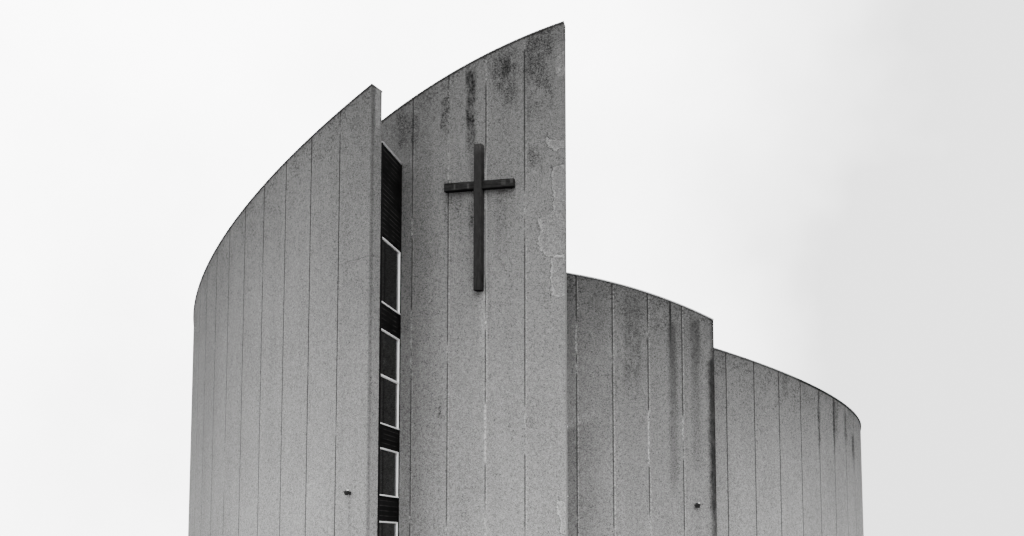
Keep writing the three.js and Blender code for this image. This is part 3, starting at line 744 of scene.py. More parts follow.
merged = g.node("GeometryNodeMergeByDistance", None, {"Geometry": bent, "Distance": MERGE_DIST})
close_tree(g, ask, g.out(merged))

# %% [markdown]
# A modifier is only a rule. To get a plain mesh, the tree is put on an empty object, its inputs are set by
# their identifiers, the evaluated shape is copied into a new mesh, and the modifier goes again. A second
# function closes doubled points, turns the faces outwards and marks which edges look sharp.

# %% Turning a tree into a plain mesh
SMOOTH_BELOW_DEG = 20.0
SLIVER = 0.0001


def from_tree(name, tree, sockets, values, material):
    mesh = bpy.data.meshes.new(name)
    made = bpy.data.objects.new(name, mesh)
    bpy.context.scene.collection.objects.link(made)
    modifier = made.modifiers.new("rule", "NODES")
    modifier.node_group = tree
    for key, value in values.items():
        modifier[sockets[key].identifier] = value
    modifier[sockets["Material"].identifier] = material
    graph_now = bpy.context.evaluated_depsgraph_get()
    plain = bpy.data.meshes.new_from_object(made.evaluated_get(graph_now))
    made.modifiers.remove(modifier)
    made.data = plain
    plain.name = name
    return made


def tidy_mesh(made, smooth_below_deg=SMOOTH_BELOW_DEG, merge=False):
    work = bmesh.new()
    work.from_mesh(made.data)
    if merge:
        bmesh.ops.remove_doubles(work, verts=work.verts, dist=MERGE_DIST)
        bmesh.ops.dissolve_degenerate(work, edges=work.edges, dist=SLIVER)
    bmesh.ops.recalc_face_normals(work, faces=work.faces)
    for face in work.faces:
        face.smooth = True
    for link in work.edges:
        bend = link.calc_face_angle(0.0) if len(link.link_faces) == 2 else math.pi
        link.smooth = bend < math.radians(smooth_below_deg)
    work.to_mesh(made.data)
    volume = work.calc_volume()
    work.free()
    return volume


def ride(piece, slot, *replaced):
    """Every piece rides on the building's one body, and may stand for solids of the frame."""
    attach(piece, "root")
    if replaced:
        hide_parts(*replaced)
    return piece


print("edges that bend less than", SMOOTH_BELOW_DEG, "degrees are shaded smooth")

# %% [markdown]
# Each row below makes one whole shell and stands for the segments that the frame holds. The tall shell
# runs on behind the left one above the slot's roof, so it has a second, higher piece. The pieces of one
# solid wall are kept a hair apart.

# %% The five walls
GROOVE_W = 0.028
GROOVE_D = 0.014
HAIR = 0.0003


def bend_bar(name, shell, start, end, finish, changes):
    """A bar bent along a shell. It is the wall itself unless changes say otherwise."""
    first = math.floor((start - shell.joint) / shell.panel)
    last = math.ceil((end - shell.joint) / shell.panel)
    values = {
        "Columns": (last - first) * COLUMNS + 2, "Centre X": shell.x, "Centre Y": shell.y,
        "Radius": shell.radius, "Face": shell.radius, "Thickness": WALL_T, "Start": start, "End": end,
        "Joint": shell.joint, "Panel": shell.panel, "First": float(first), "Follow": 0.0, "Base": BASE,
        "Rise": 0.0, "Level": shell.level, "Slope X": shell.slope_x, "Slope Y": shell.slope_y,
        "Fall": shell.fall, "Groove Width": GROOVE_W, "Groove Depth": GROOVE_D,
    }
    values.update(changes)
    return from_tree(name, shell_tree, shell_sockets, values, finish)


def build_shell(name, shell, start, end, base, finish, replaced):
    made = bend_bar(name, shell, start, end, finish, {"Base": base})
    volume = tidy_mesh(made, merge=True)
    ride(made, "concrete", *replaced)
    print(name, len(made.data.vertices), "points,", round(volume, 2), "cubic metres")


def segments(name, count):
    return [f"{name}_{number}" for number in range(1, count + 1)]


HAIR_DEG = 0.001
RETURN_END = SHELL_B.start - HAIR_DEG
for name, letter, shell, start, end, base, replaced in (
    ("shell_a", "a", SHELL_A, SHELL_A.start, SHELL_A.end, BASE, segments("wall_a", 3)),
    ("shell_b", "b", SHELL_B, SHELL_B.start, SHELL_B.end, BASE, ["wall_b"]),
    ("shell_b_return", "b", SHELL_B, B_RETURN_START, RETURN_END, SLOT_TOP + HAIR, ["wall_b_return"]),
    ("shell_c", "c", SHELL_C, SHELL_C.start, SHELL_C.end, BASE, ["wall_c"]),
    ("shell_d", "d", SHELL_D, SHELL_D.start, SHELL_D.end, BASE, segments("wall_d", 6)),
    ("shell_e", "e", SHELL_E, SHELL_E.start, SHELL_E.end, BASE, segments("wall_e", 3)),
):
    build_shell(name, shell, start, end, base, wall_finish[letter], replaced)

# %% [markdown]
# ## Copings
# Sheet metal covers each wall top: a flat cap with a thin lip that hangs a little clear of the face, so the
# eye sees a light line with a dark line of shadow beneath it. Over the left and rear shells and the far
# right of the right shell the caps are painted nearly black, a painted shade that deepens that line. The
# same tree bends these bars too: its underside can follow the slope as well as its top.

# %% Weathered sheet metal
def sheet_finish(name, grey, shaded_beyond=None):
    """Bare weathered sheet. Where a place is given, it is painted darker to its right, as painted shade."""
    material, graph, surface, coords = new_material(name, roughness=0.5, specular=0.3, metallic=0.3)
    x = graph.split(coords)[0]
    dull = graph.noise(coords, 1.7, 4.0, 0.6) - 0.5
    specks = graph.ramp(graph.noise(coords, 26.0, 2.0, 0.6), 0.6, 0.75)
    tone = grey * (1.0 + 0.6 * dull) * (1.0 - 0.25 * specks)
    if shaded_beyond is not None:
        # painted shade: darker to the right of the given place, to deepen the shadow line under the coping
        tone = tone * (1.0 - 0.85 * graph.ramp(x + dull, shaded_beyond, shaded_beyond + 0.5))
    set_grey(graph, surface, graph.clamp(tone), (0.985, 0.992, 1.0))
    set_bump(graph, surface, graph.noise(coords, 3.0, 2.0), 0.2, 0.01)
    return material


# painted shade: the nearly black sheet reads as the line of shadow under the coping
shaded_sheet = sheet_finish("shaded_sheet", 0.056)
cap_finish = {
    "a": shaded_sheet,
    "b": sheet_finish("dark_sheet", 0.072),
    "c": sheet_finish("worn_sheet", 0.32),
    "d": sheet_finish("half_shaded_sheet", 0.14, SHADED_BEYOND),
    "e": shaded_sheet,
    "step": sheet_finish("weathered_sheet", 0.17),
    "slot": sheet_finish("newer_sheet", 0.55),
}
print("sheet finishes:", len(set(cap_finish.values())))

# %% [markdown]
# One coping is three bent bars: the cap, the lip outside and the lip inside. The bars of one coping are
# joined into one mesh, because on the building they are one folded sheet.

# %% Caps and lips on the shells
CAP_OUT = 0.026
CAP_T = 0.012
CAP_RISE = 0.020
LIP_T = 0.004
LIP_DROP = 0.018
CAP_D_START = 27.3


def join_meshes(name, objects, smooth_below_deg=SMOOTH_BELOW_DEG):
    work = bmesh.new()
    for part in objects:
        work.from_mesh(part.data)
    mesh = objects[0].data
    for part in objects[1:]:
        bpy.data.objects.remove(part)
    work.to_mesh(mesh)
    work.free()
    whole = objects[0]
    whole.name = name
    mesh.name = name
    tidy_mesh(whole, smooth_below_deg)
    return whole


def coping_bar(name, shell, start, end, out, thickness, bottom, top, finish):
    """A bar that follows the slope of the wall's top, from bottom to top above it."""
    changes = {
        "Radius": shell.radius + out, "Thickness": thickness, "Follow": 1.0, "Base": bottom, "Rise": top,
        "Groove Width": 0.01, "Groove Depth": 0.0,
    }
    return bend_bar(name, shell, start, end, finish, changes)


def build_coping(letter, shell, start, end):
    finish = cap_finish[letter]
    under = CAP_RISE - CAP_T
    bars = []
    for name, out, thickness, bottom, top in (
        ("cap", CAP_OUT, WALL_T + 2.0 * CAP_OUT, under, CAP_RISE),
        ("lip", CAP_OUT, LIP_T, -LIP_DROP, under),
        ("back", LIP_T - WALL_T - CAP_OUT, LIP_T, -LIP_DROP, under),
    ):
        bars.append(coping_bar(name, shell, start, end, out, thickness, bottom, top, finish))
    return ride(join_meshes(f"cap_{letter}", bars), "coping_metal", f"coping_{letter}")


for letter, shell, start in (
    ("a", SHELL_A, SHELL_A.start), ("b", SHELL_B, B_RETURN_START), ("c", SHELL_C, SHELL_C.start),
    ("d", SHELL_D, CAP_D_START), ("e", SHELL_E, SHELL_E.start),
):
    cap = build_coping(letter, shell, start, shell.end)
    print(cap.name, len(cap.data.polygons), "faces")

# %% [markdown]
# ## Window strips
# Each slot between two shells is closed by a narrow upright strip. The strip's own frame runs along it, so
# every board and window is drawn flat, with x along the strip, y inwards and z up, and then turned into
# place. The numbers that place a strip come from the shells it stands between.

# %% Where a strip meets the walls
BOARD_T = 0.1


def crossing(p, u, q, v):
    """Where the line through p along u meets the line through q along v."""
    det = u.x * v.y - u.y * v.x
    return p + u * (((q.x - p.x) * v.y - (q.y - p.y) * v.x) / det)


class Strip:
    """A strip between two wall faces, each of them a point and a direction in plan."""

    def __init__(
        self, name, start, start_dir, end, end_dir, top, windows, sill_out=0.036, stop_proud=0.036
    ):
        self.name = name
        self.start = start
        self.dir = (end - start).normalized()
        self.top = top
        self.windows = windows
        self.sill_out = sill_out
        self.stop_proud = stop_proud
        inward = Vector((-self.dir.y, self.dir.x)) * BOARD_T
        ends = []
        for depth in (Vector((0.0, 0.0)), inward):
            for corner, face in ((start + self.dir * HAIR, start_dir), (end - self.dir * HAIR, end_dir)):
                met = crossing(start + depth, self.dir, corner, face)
                ends.append((met - start).dot(self.dir))
        self.outline = ends
        self.left = max(ends[0], ends[2])
        self.right = min(ends[1], ends[3])

    def turn(self):
        place = Matrix.Rotation(math.atan2(self.dir.y, self.dir.x), 4, "Z")
        return Matrix.Translation((self.start.x, self.start.y, 0.0)) @ place


print("a strip is", BOARD_T, "m deep")

# %% [markdown]
# The first strip stands between the left shell and the tall one, the second between the tall shell and the
# middle one, and the third at the back. Half a panel is one flat facet of a wall, so the direction of the
# facet at each end is all that a strip has to know about its neighbours.

# %% The three strips
SPINE_BOTTOM = 10.16
REAR_TOP = 7.25
STRIP_ON_B = 0.32


def towards(shell, degrees, other, out=0.0):
    return (shell.at(other, out) - shell.at(degrees, out)).normalized()


half_b = SHELL_B.panel / 2.0
half_c = SHELL_C.panel / 2.0
b_foot = SHELL_B.at(SHELL_B.start).lerp(SHELL_B.at(SHELL_B.start + half_b), STRIP_ON_B)
spine_front = SHELL_B.at(SHELL_B.end, -WALL_T)
spine_back = SHELL_E.at(SHELL_E.start, -WALL_T)
spine_dir = (spine_back - spine_front).normalized()
c_out_dir = towards(SHELL_C, SHELL_C.start, SHELL_C.start + half_c)
c_foot = crossing(spine_front, spine_dir, SHELL_C.at(SHELL_C.start), c_out_dir)
half_a = SHELL_A.panel / 2.0
half_d = SHELL_D.panel / 2.0
half_e = SHELL_E.panel / 2.0
STRIPS = [
    Strip(
        "ab", SHELL_A.at(SHELL_A.end, -WALL_T),
        towards(SHELL_A, SHELL_A.end, SHELL_A.end - half_a, -WALL_T), b_foot,
        towards(SHELL_B, SHELL_B.start, SHELL_B.start + half_b), SLOT_TOP, 4,
    ),
    Strip(
        "bc", spine_front, towards(SHELL_B, SHELL_B.end, SHELL_B.end - half_b, -WALL_T),
        c_foot, c_out_dir, SPINE_BOTTOM, 3, sill_out=0.03, stop_proud=0.002,
    ),
    Strip(
        "de", SHELL_D.at(SHELL_D.end, -WALL_T),
        towards(SHELL_D, SHELL_D.end, SHELL_D.end - half_d, -WALL_T),
        SHELL_E.at(SHELL_E.start), towards(SHELL_E, SHELL_E.start, SHELL_E.start + half_e), REAR_TOP, 2,
    ),
]
for strip in STRIPS:
    print("strip", strip.name, "is", round(strip.right - strip.left, 3), "m wide")

# %% [markdown]
# ### Boards
# The strip is clad with dark stained horizontal boards, each leaning out a little at its lower edge so that
# it sheds rain on to the next. One board is a plain bar, and Geometry Nodes repeat it up each panel between
# two windows, so a panel of any height gets a whole number of boards. The tree writes two numbers on the
# points for the finish: the board's rank, and how high a point lies above the board's foot.

# %% A tree that stacks boards
BOARD_H = 0.145
BOARD_GAP = 0.010
CLAD_T = 0.022
CLAD_LEAN_DEG = 4.0
RANK_SPREAD = 7.0
BOARD_INPUTS = ["Left", "Right", "Bottom", "Top", "Board Height", "Gap", "Thickness", "Lean"]

g, ask, board_sockets = geometry_tree("board_stack", [(name, "Float") for name in BOARD_INPUTS])
board_tree = g.tree
tall = ask["Top"] - ask["Bottom"]
count = g.math("MAXIMUM", g.math("ROUND", tall / ask["Board Height"]), 1.0)
pitch = tall / count
board_h = pitch - ask["Gap"]
line = g.node("GeometryNodeMeshLine", None, {"Count": count, "Offset": g.join(0.0, 0.0, pitch)})
rank = g.out(g.node("GeometryNodeInputIndex")) + ask["Bottom"] * RANK_SPREAD
ranked = store(g, g.out(line), "rank", rank)
board_size = g.join(ask["Right"] - ask["Left"], ask["Thickness"], board_h)
bar = g.node("GeometryNodeMeshCube", None, {"Size": board_size})
position_z = g.split(g.out(g.node("GeometryNodeInputPosition")))[2]
measured = store(g, g.out(bar, "Mesh"), "above_foot", position_z + board_h * 0.5)
lean = {"Geometry": measured, "Rotation": g.join(ask["Lean"], 0.0, 0.0)}
leaning = g.out(g.node("GeometryNodeTransform", None, lean))
stack = g.node("GeometryNodeInstanceOnPoints", None, {"Points": ranked, "Instance": leaning})
middle = (ask["Left"] + ask["Right"]) * 0.5
first_board = g.join(middle, ask["Thickness"] * 0.5, ask["Bottom"] + pitch * 0.5)
placed = g.node("GeometryNodeTransform", None, {"Geometry": g.out(stack), "Translation": first_board})
close_tree(g, ask, g.out(placed))

# %% [markdown]
# The stain is nearly black. Each board's rank gives it a shade of its own, the grain runs along it, and its
# lower edge carries a paler line in places, a painted highlight where the edge would catch the light.

# %% Dark stained boards
boards_finish, g, surface, coords = new_material("stained_boards", roughness=0.8, specular=0.05)
x, y, z = g.split(coords)
rank = g.out(g.node("ShaderNodeAttribute", {"attribute_name": "rank"}), "Fac")
above_foot = g.out(g.node("ShaderNodeAttribute", {"attribute_name": "above_foot"}), "Fac")
along = x + y
grain = g.noise(g.join(along * 1.2, z * 60.0, rank), 1.0, 4.0, 0.7) - 0.5
each = g.out(g.node("ShaderNodeTexWhiteNoise", {"noise_dimensions": "1D"}, {"W": rank})) - 0.5
faded = g.noise(coords, 1.1, 3.0, 0.6)
lower_edge = g.ramp(above_foot, 0.0, 0.003) * (1.0 - g.ramp(above_foot, 0.009, 0.023))
# painted highlight: a paler line along each board's lower edge
edge_highlight = lower_edge * g.ramp(faded, 0.35, 0.65)
board_tone = 0.0032 * (1.0 + 0.9 * grain + 1.2 * each) * (0.5 + faded) + 0.05 * edge_highlight
set_grey(g, surface, g.clamp(board_tone), (1.0, 0.985, 0.97))
set_bump(g, surface, grain, 0.35, 0.002)
print("stained_boards has", len(g.tree.nodes), "nodes")

# %% [markdown]
# Bars, prisms and skins are enough for the rest of a strip. They are drawn straight into one mesh, and the
# finished mesh is turned into place at the end. A bar's edges are bevelled a little, because a perfectly
# sharp edge catches no light and looks false.


# %% Bars drawn flat in a strip's own frame
def add_bar(work, low, high, bevel=0.004, steps=1):
    """A bevelled bar between two corners."""
    made = bmesh.ops.create_cube(work, size=1.0)
    for point in made["verts"]:
        for axis in range(3):
            point.co[axis] = low[axis] if point.co[axis] < 0.0 else high[axis]
    edges = list(dict.fromkeys(edge for point in made["verts"] for edge in point.link_edges))
    bmesh.ops.bevel(work, geom=edges, offset=bevel, segments=steps, affect="EDGES", profile=0.7)


def add_skin(work, first, last):
    """A closed body between two end outlines with the same number of points."""
    work.faces.new(first)
    work.faces.new(last[::-1])
    count = len(first)
    for i in range(count):
        j = (i + 1) % count
        work.faces.new((first[i], last[i], last[j], first[j]))


def add_prism(work, outline, bottom, top):
    """An upright body over an outline in plan."""
    ends = [[work.verts.new((px, py, height)) for px, py in outline] for height in (bottom, top)]
    add_skin(work, *ends)


def finish_mesh(name, work, material, placing=None, smooth_below_deg=40.0):
    mesh = bpy.data.meshes.new(name)
    if placing is not None:
        bmesh.ops.transform(work, matrix=placing, verts=work.verts)
    work.to_mesh(mesh)
    work.free()
    mesh.materials.append(material)
    made = bpy.data.objects.new(name, mesh)
    bpy.context.scene.collection.objects.link(made)
    tidy_mesh(made, smooth_below_deg)
    return made


print("helpers:", [helper.__name__ for helper in (add_bar, add_skin, add_prism, finish_mesh)])

# %% [markdown]
# A strip's panels lie between its windows. Behind the boards stands the strip's own wall, and an upright
# stop covers the board ends at each side, where the strip meets rough concrete.

# %% Clad strips
WINDOWS = [(0.95, 2.27, []), (2.99, 4.35, []), (5.02, 7.75, [6.42]), (8.5, 10.42, [])]
STRIP_EDGE = 0.06
STOP_W = 0.035
STOP_CLEAR = 0.002


def stack_boards(strip, low, high):
    values = {
        "Left": strip.left + STOP_W, "Right": strip.right - STOP_W, "Bottom": low, "Top": high,
        "Board Height": BOARD_H, "Gap": BOARD_GAP, "Thickness": CLAD_T, "Lean": math.radians(CLAD_LEAN_DEG),
    }
    return from_tree("boards", board_tree, board_sockets, values, boards_finish)


def backing_plan(left, right, left_back, right_back):
    return [(left, CLAD_T), (right, CLAD_T), (right_back, BOARD_T), (left_back, BOARD_T)]


def build_strip(strip):
    placing = strip.turn()
    levels = [BASE]
    for low, high, _ in WINDOWS[: strip.windows]:
        levels += [low, high]
    levels.append(strip.top - HAIR)
    a0, b0, a1, b1 = strip.outline
    left = strip.left + STRIP_EDGE
    right = strip.right - STRIP_EDGE
    stacks = []
    work = bmesh.new()
    for low, high in zip(levels[0::2], levels[1::2]):
        add_prism(work, backing_plan(a0, b0, a1, b1), low, high)
        stacks.append(stack_boards(strip, low, high))
    for low, high in zip(levels[1::2], levels[2::2]):
        add_prism(work, backing_plan(a0, left, a1, left), low, high)
        add_prism(work, backing_plan(right, b0, right, b1), low, high)
    stop_top = strip.top - STOP_CLEAR
    for near, far in ((a0 + STOP_CLEAR, strip.left + STOP_W), (strip.right - STOP_W, b0 - STOP_CLEAR)):
        add_bar(work, (near, -strip.stop_proud, BASE), (far, CLAD_T, stop_top), 0.003)
    backing = finish_mesh("backing", work, boards_finish, placing)
    for stack in stacks:
        stack.data.transform(placing)
    whole = join_meshes(f"boards_{strip.name}", [backing, *stacks], 30.0)
    return ride(whole, "boarding", f"boarding_{strip.name}")


for strip in STRIPS:
    whole = build_strip(strip)
    print(whole.name, len(whole.data.polygons), "faces")

# %% [markdown]
# The top of the tall slot is closed by its own folded sheet. Its upper edge stands proud, a groove throws a
# line of shadow, and a lower fold rests on the boards. The plan comes from the solid's own corners.

# %% A folded sheet over the slot
FOLD_EDGE = 0.018
FOLD_FOOT = 0.014
FOLD_STEP = 0.008
FOLD_GROOVE = 0.030


def build_slot_cap(strip):
    solid = nodes["coping_slot"]
    place = strip.turn().inverted() @ solid.matrix_world
    points = [place @ v.co for v in solid.data.vertices]
    low = min(p.z for p in points)
    high = max(p.z for p in points)
    corners = sorted({(round(p.x, 4), round(p.y, 4)) for p in points}, key=lambda p: p[1])
    profile = [
        (FOLD_STEP, low), (FOLD_STEP, low + FOLD_FOOT), (FOLD_GROOVE, low + FOLD_FOOT),
        (FOLD_GROOVE, high - FOLD_EDGE), (0.0, high - FOLD_EDGE), (0.0, high),
    ]
    work = bmesh.new()
    ends = []
    for near, far in zip(sorted(corners[:2]), sorted(corners[-2:])):
        inwards = (Vector(far) - Vector(near)).normalized()
        outline = [(Vector(near) + inwards * depth, z) for depth, z in profile]
        outline += [(Vector(far), high), (Vector(far), low)]
        ends.append([work.verts.new((p.x, p.y, z)) for p, z in outline])
    add_skin(work, *ends)
    made = finish_mesh("cap_slot", work, cap_finish["slot"], strip.turn(), 20.0)
    return ride(made, "coping_metal", "coping_slot")


cap = build_slot_cap(STRIPS[0])
print(cap.name, len(cap.data.polygons), "faces")

# %% [markdown]
# ### Windows
# The frames are white painted timber: a slim deep frame that shows a broad reveal from the side, a bead
# round the pane, and a sloping sill with a nose that throws the rain clear. Paint is never quite even, so
# the white carries soft grey wash marks.

# %% White paint
paint, g, surface, coords = new_material("white_paint", roughness=0.45, specular=0.4)
x, y, z = g.split(coords)
wash = g.noise(coords, 4.0, 3.0, 0.6) - 0.5
runs = g.noise(g.join(x * 30.0, y * 30.0, z * 1.5), 1.0, 3.0, 0.6) - 0.5
set_grey(g, surface, g.clamp(0.97 + 0.08 * wash + 0.05 * runs), (1.0, 1.0, 1.0))
set_bump(g, surface, g.noise(coords, 60.0, 2.0), 0.15, 0.001)
print("white_paint has", len(g.tree.nodes), "nodes")

# %% [markdown]
# A frame is a ring of four bars, and the bead round a pane is the same ring again, thinner and set back. A
# tall window has a bar across, so it has two panes. The sill is a skin between two five-cornered outlines,
# because a bevelled box could not have the slope.

# %% Frames, beads and sills
FRAME_W = 0.045
FRAME_PROUD = 0.015
FRAME_D = 0.03
JAMB_W = 0.052
HEAD_T = 0.028
BEAD_W = 0.012
BEAD_D = 0.012
SILL_T = 0.034
SILL_NOSE = 0.028
SILL_BACK = 0.02
SILL_CLEAR = 0.005


def openings(low, high, bars, rim, half):
    """The heights of each pane's foot and head, between the rails and the bars across."""
    feet = [low + rim, *(at + half for at in bars)]
    heads = [*(at - half for at in bars), high - rim]
    return list(zip(feet, heads))


def add_ring(work, left, right, low, high, widths, near, far, bevel):
    """Two jambs, a foot rail and a head."""
    wide_left, wide_right, tall = widths
    add_bar(work, (left, near, low), (left + wide_left, far, high), bevel)
    add_bar(work, (right - wide_right, near, low), (right, far, high), bevel)
    add_bar(work, (left + wide_left, near, low), (right - wide_right, far, low + tall), bevel)
    add_bar(work, (left + wide_left, near, high - tall), (right - wide_right, far, high), bevel)


def add_sill(work, left, right, low, out):
    section = [(-out, 0.0), (-out, SILL_NOSE), (0.0, SILL_T), (SILL_BACK, SILL_T), (SILL_BACK, 0.003)]
    ends = []
    for x_at in (left, right):
        ends.append([work.verts.new((x_at, depth, low + height)) for depth, height in section])
    add_skin(work, *ends)


def build_window(strip, index):
    low, high, transoms = WINDOWS[index]
    left = strip.left + STRIP_EDGE
    right = strip.right - STRIP_EDGE
    pane_left = left + FRAME_W
    pane_right = right - JAMB_W
    half = FRAME_W / 2.0
    work = bmesh.new()
    add_ring(work, left, right, low, high, (FRAME_W, JAMB_W, HEAD_T), -FRAME_PROUD, FRAME_D, 0.004)
    for bottom, top in openings(low, high, transoms, HEAD_T, half):
        bead = (BEAD_W, BEAD_W, BEAD_W)
        add_ring(work, pane_left, pane_right, bottom, top, bead, FRAME_D - BEAD_D, FRAME_D, 0.002)
    for at in transoms:
        add_bar(work, (pane_left, -FRAME_PROUD, at - half), (pane_right, FRAME_D, at + half), 0.004)
    add_sill(work, left + SILL_CLEAR, right - SILL_CLEAR, low, strip.sill_out)
    made = finish_mesh(f"frame_{strip.name}_{index + 1}", work, paint, strip.turn(), 30.0)
    return ride(made, "window_frame", f"window_{strip.name}_{index + 1}")


for strip in STRIPS:
    for index in range(strip.windows):
        made = build_window(strip, index)
    print("strip", strip.name, "has", strip.windows, "windows of about", len(made.data.polygons), "faces")

# %% [markdown]
# ### Glass
# By day a window looks almost black: little light comes back out of the hall. Faint upright folds of a
# curtain show behind the far end of each pane, painted in the finish by the distance along the strip as
# bands of painted light and shade. The long sheet behind the strip is the inner glazing. Its solid is kept
# as it is and only gets the finish.


# %% Dark panes with curtain folds
def dress(node_name, finish):
    """Give a solid of the frame a finish, and leave its shape alone."""
    made = nodes[node_name]
    made.data.materials.clear()
    made.data.materials.append(finish)


def glass_for(strip):
    name = f"dark_glass_{strip.name}"
    material, graph, surface, coords = new_material(name, roughness=0.06, specular=0.04)
    x, y, z = graph.split(coords)
    along = (x - strip.start.x) * strip.dir.x + (y - strip.start.y) * strip.dir.y
    sway = graph.noise(graph.join(along * 3.0, z * 0.3, 0.0), 1.0) * 9.0
    # painted light and shade: the curtain's folds are drawn as lighter and darker bands
    fold_shading = graph.math("SINE", along * 46.0 + sway)
    curtain = graph.ramp(along, strip.right - 0.5, strip.right - 0.12)
    veil = 0.35 + 0.65 * graph.ramp(z, 8.0, 9.5)
    tone = 0.003 + 0.011 * curtain * veil * (0.7 + 0.3 * fold_shading) + 0.003 * graph.noise(coords, 1.3)
    set_grey(graph, surface, tone)
    return material


glass_finish = {strip.name: glass_for(strip) for strip in STRIPS}
for strip in STRIPS:
    dress(f"glass_{strip.name}", glass_finish[strip.name])
print("glass finishes:", len(glass_finish))

# %% [markdown]
# Thin outer panes stand in the frames, a few millimetres into the beads all round, as they do in a rebate.

# %% Outer panes
PANE_T = 0.006
REBATE = 0.012
PANE_GAP = 0.002


def build_panes(strip):
    work = bmesh.new()
    left = strip.left + STRIP_EDGE + FRAME_W - REBATE
    right = strip.right - STRIP_EDGE - JAMB_W + REBATE
    near = FRAME_D + HAIR
    for low, high, transoms in WINDOWS[: strip.windows]:
        for bottom, top in openings(low, high, transoms, REBATE, PANE_GAP):
            add_bar(work, (left, near, bottom), (right, near + PANE_T, top), 0.001)
    panes = finish_mesh(f"panes_{strip.name}", work, glass_finish[strip.name], strip.turn())
    return ride(panes, "window_glass")


for strip in STRIPS:
    panes = build_panes(strip)
    print(panes.name, len(panes.data.polygons), "faces")

# %% [markdown]
# ## The cross
# Two heavy timbers, the upright notched over the arm. They were left to weather: the grain has opened,
# small cracks run along it, and the top of the upright has gone pale. Each timber is drawn in a frame that
# lies on the wall's face behind it, so the finish measures along that face too. A few pale scuffs on the
# arm are given by their distance from its middle, half their width, their height and their strength.

# %% Weathered timber
CROSS_ANGLE = -17.6
UPRIGHT = (-0.12, -0.26, 9.05, 0.12, -HAIR, 13.48)
ARM = (-1.095, -0.18, 12.11, 1.095, -HAIR, 12.37)
SCUFFS = (
    (-0.76, 0.01, 0.13, 0.016), (-0.33, 0.015, 0.12, 0.018), (0.78, 0.06, 0.15, 0.009),
    (1.03, 0.03, 0.2, 0.012),
)


def timber_finish(name, turned, grey, foot, pale_top, painted_foot_shade, rough, scuffs):
    """turned is for a timber that lies across. A dark line of painted shade runs along the timber's foot."""
    material, graph, surface, coords = new_material(name, roughness=0.85, specular=0.05)
    x, y, z = graph.split(coords)
    middle = SHELL_B.at(CROSS_ANGLE)
    turn = math.radians(CROSS_ANGLE)
    aside = (x - middle.x) * math.cos(turn) + (y - middle.y) * math.sin(turn)
    along, across = (aside, z) if turned else (z, aside)
    grain = graph.noise(graph.join(along * 3.0, across * 45.0, y * 30.0), 1.0, 5.0, 0.8) - 0.5
    grain = grain + 0.8 * (graph.noise(graph.join(along * 12.0, across * 22.0, 2.0), 1.0, 3.0, 0.7) - 0.5)
    crack = graph.noise(graph.join(along * 0.9, across * 26.0, 4.0), 1.0, 2.0, 0.4)
    crack = graph.ramp(crack, 0.60, 0.66)
    pale = graph.noise(graph.join(along * 4.0, across * 10.0, 9.0), 1.0, 4.0, 0.7) - 0.5
    tone = grey * (1.0 + rough * (grain + 1.5 * pale)) * (1.0 - 0.45 * rough * crack)
    # painted shade: a dark line along the timber's foot, for the shadow beneath it
    tone = tone * (1.0 - 0.85 * (1.0 - graph.ramp(z, foot + painted_foot_shade, foot + painted_foot_shade + 0.016)))
    if pale_top:
        tone = tone + 0.02 * graph.ramp(z, pale_top - 0.45, pale_top) * (0.5 + 2.0 * grain)
    for at, half, height, strength in scuffs:
        mark = graph.band(aside, at, half, 0.03) * graph.band(z, foot + height, 0.05, 0.05)
        tone = tone + strength * mark * (0.4 + 2.0 * graph.noise(coords, 24.0, 3.0, 0.7))
    set_grey(graph, surface, graph.clamp(tone), (1.0, 0.985, 0.97))
    set_bump(graph, surface, grain - crack, 0.5, 0.004)
    return material


upright_finish = timber_finish("timber_upright", False, 0.018, UPRIGHT[2], UPRIGHT[5], 0.006, 0.9, ())
arm_finish = timber_finish("timber_arm", True, 0.0143, ARM[2], 0.0, 0.022, 1.7, SCUFFS)
print("timber_arm has", len(arm_finish.node_tree.nodes), "nodes")

# %% [markdown]
# A sawn box would look too perfect. Each timber is cut into short lengths first, and then its long faces
# wander by a millimetre or two, as an adze leaves them. The face on the wall stays flat.

# %% Hewn timbers
HEWN = 0.0012
EDGE_WEAR = 0.007
FLAT_BACK = 0.05


def add_timber(work, box, length_axis, lengths):
    low = Vector(box[:3])
    high = Vector(box[3:])
    add_bar(work, low, high, EDGE_WEAR, 2)
    normal = Vector((0.0, 0.0, 0.0))
    normal[length_axis] = 1.0
    for i in range(1, lengths):
        at = low.copy()
        at[length_axis] += (high[length_axis] - low[length_axis]) * i / lengths
        geom = work.verts[:] + work.edges[:] + work.faces[:]
        bmesh.ops.bisect_plane(work, geom=geom, plane_co=at, plane_no=normal)
    hew(work, box, length_axis)


def hew(work, box, length_axis):
    for point in work.verts:
        for axis in range(3):
            on_wall = axis == 1 and point.co[1] >= -FLAT_BACK
            if axis == length_axis or on_wall:
                continue
            far = point.co[length_axis]
            wave = math.sin(far * 5.1 + axis) + 0.6 * math.sin(far * 13.7)
            side = 1.0 if point.co[axis] > 0.5 * (box[axis] + box[axis + 3]) else -1.0
            point.co[axis] -= side * HEWN * (1.0 + 0.5 * wave)


print("the faces wander by about", 1000.0 * HEWN, "mm")

# %% [markdown]
# The timbers lie on one flat facet of the tall shell, so they get a frame that sits on it. The upright is
# drawn as one long front with a cheek behind it above and below the arm, which leaves the notch open.

# %% Two notched timbers
LENGTHS_ARM = 14
LENGTHS_UPRIGHT = 24
CHEEK = 0.002
CHEEK_SET = 0.008


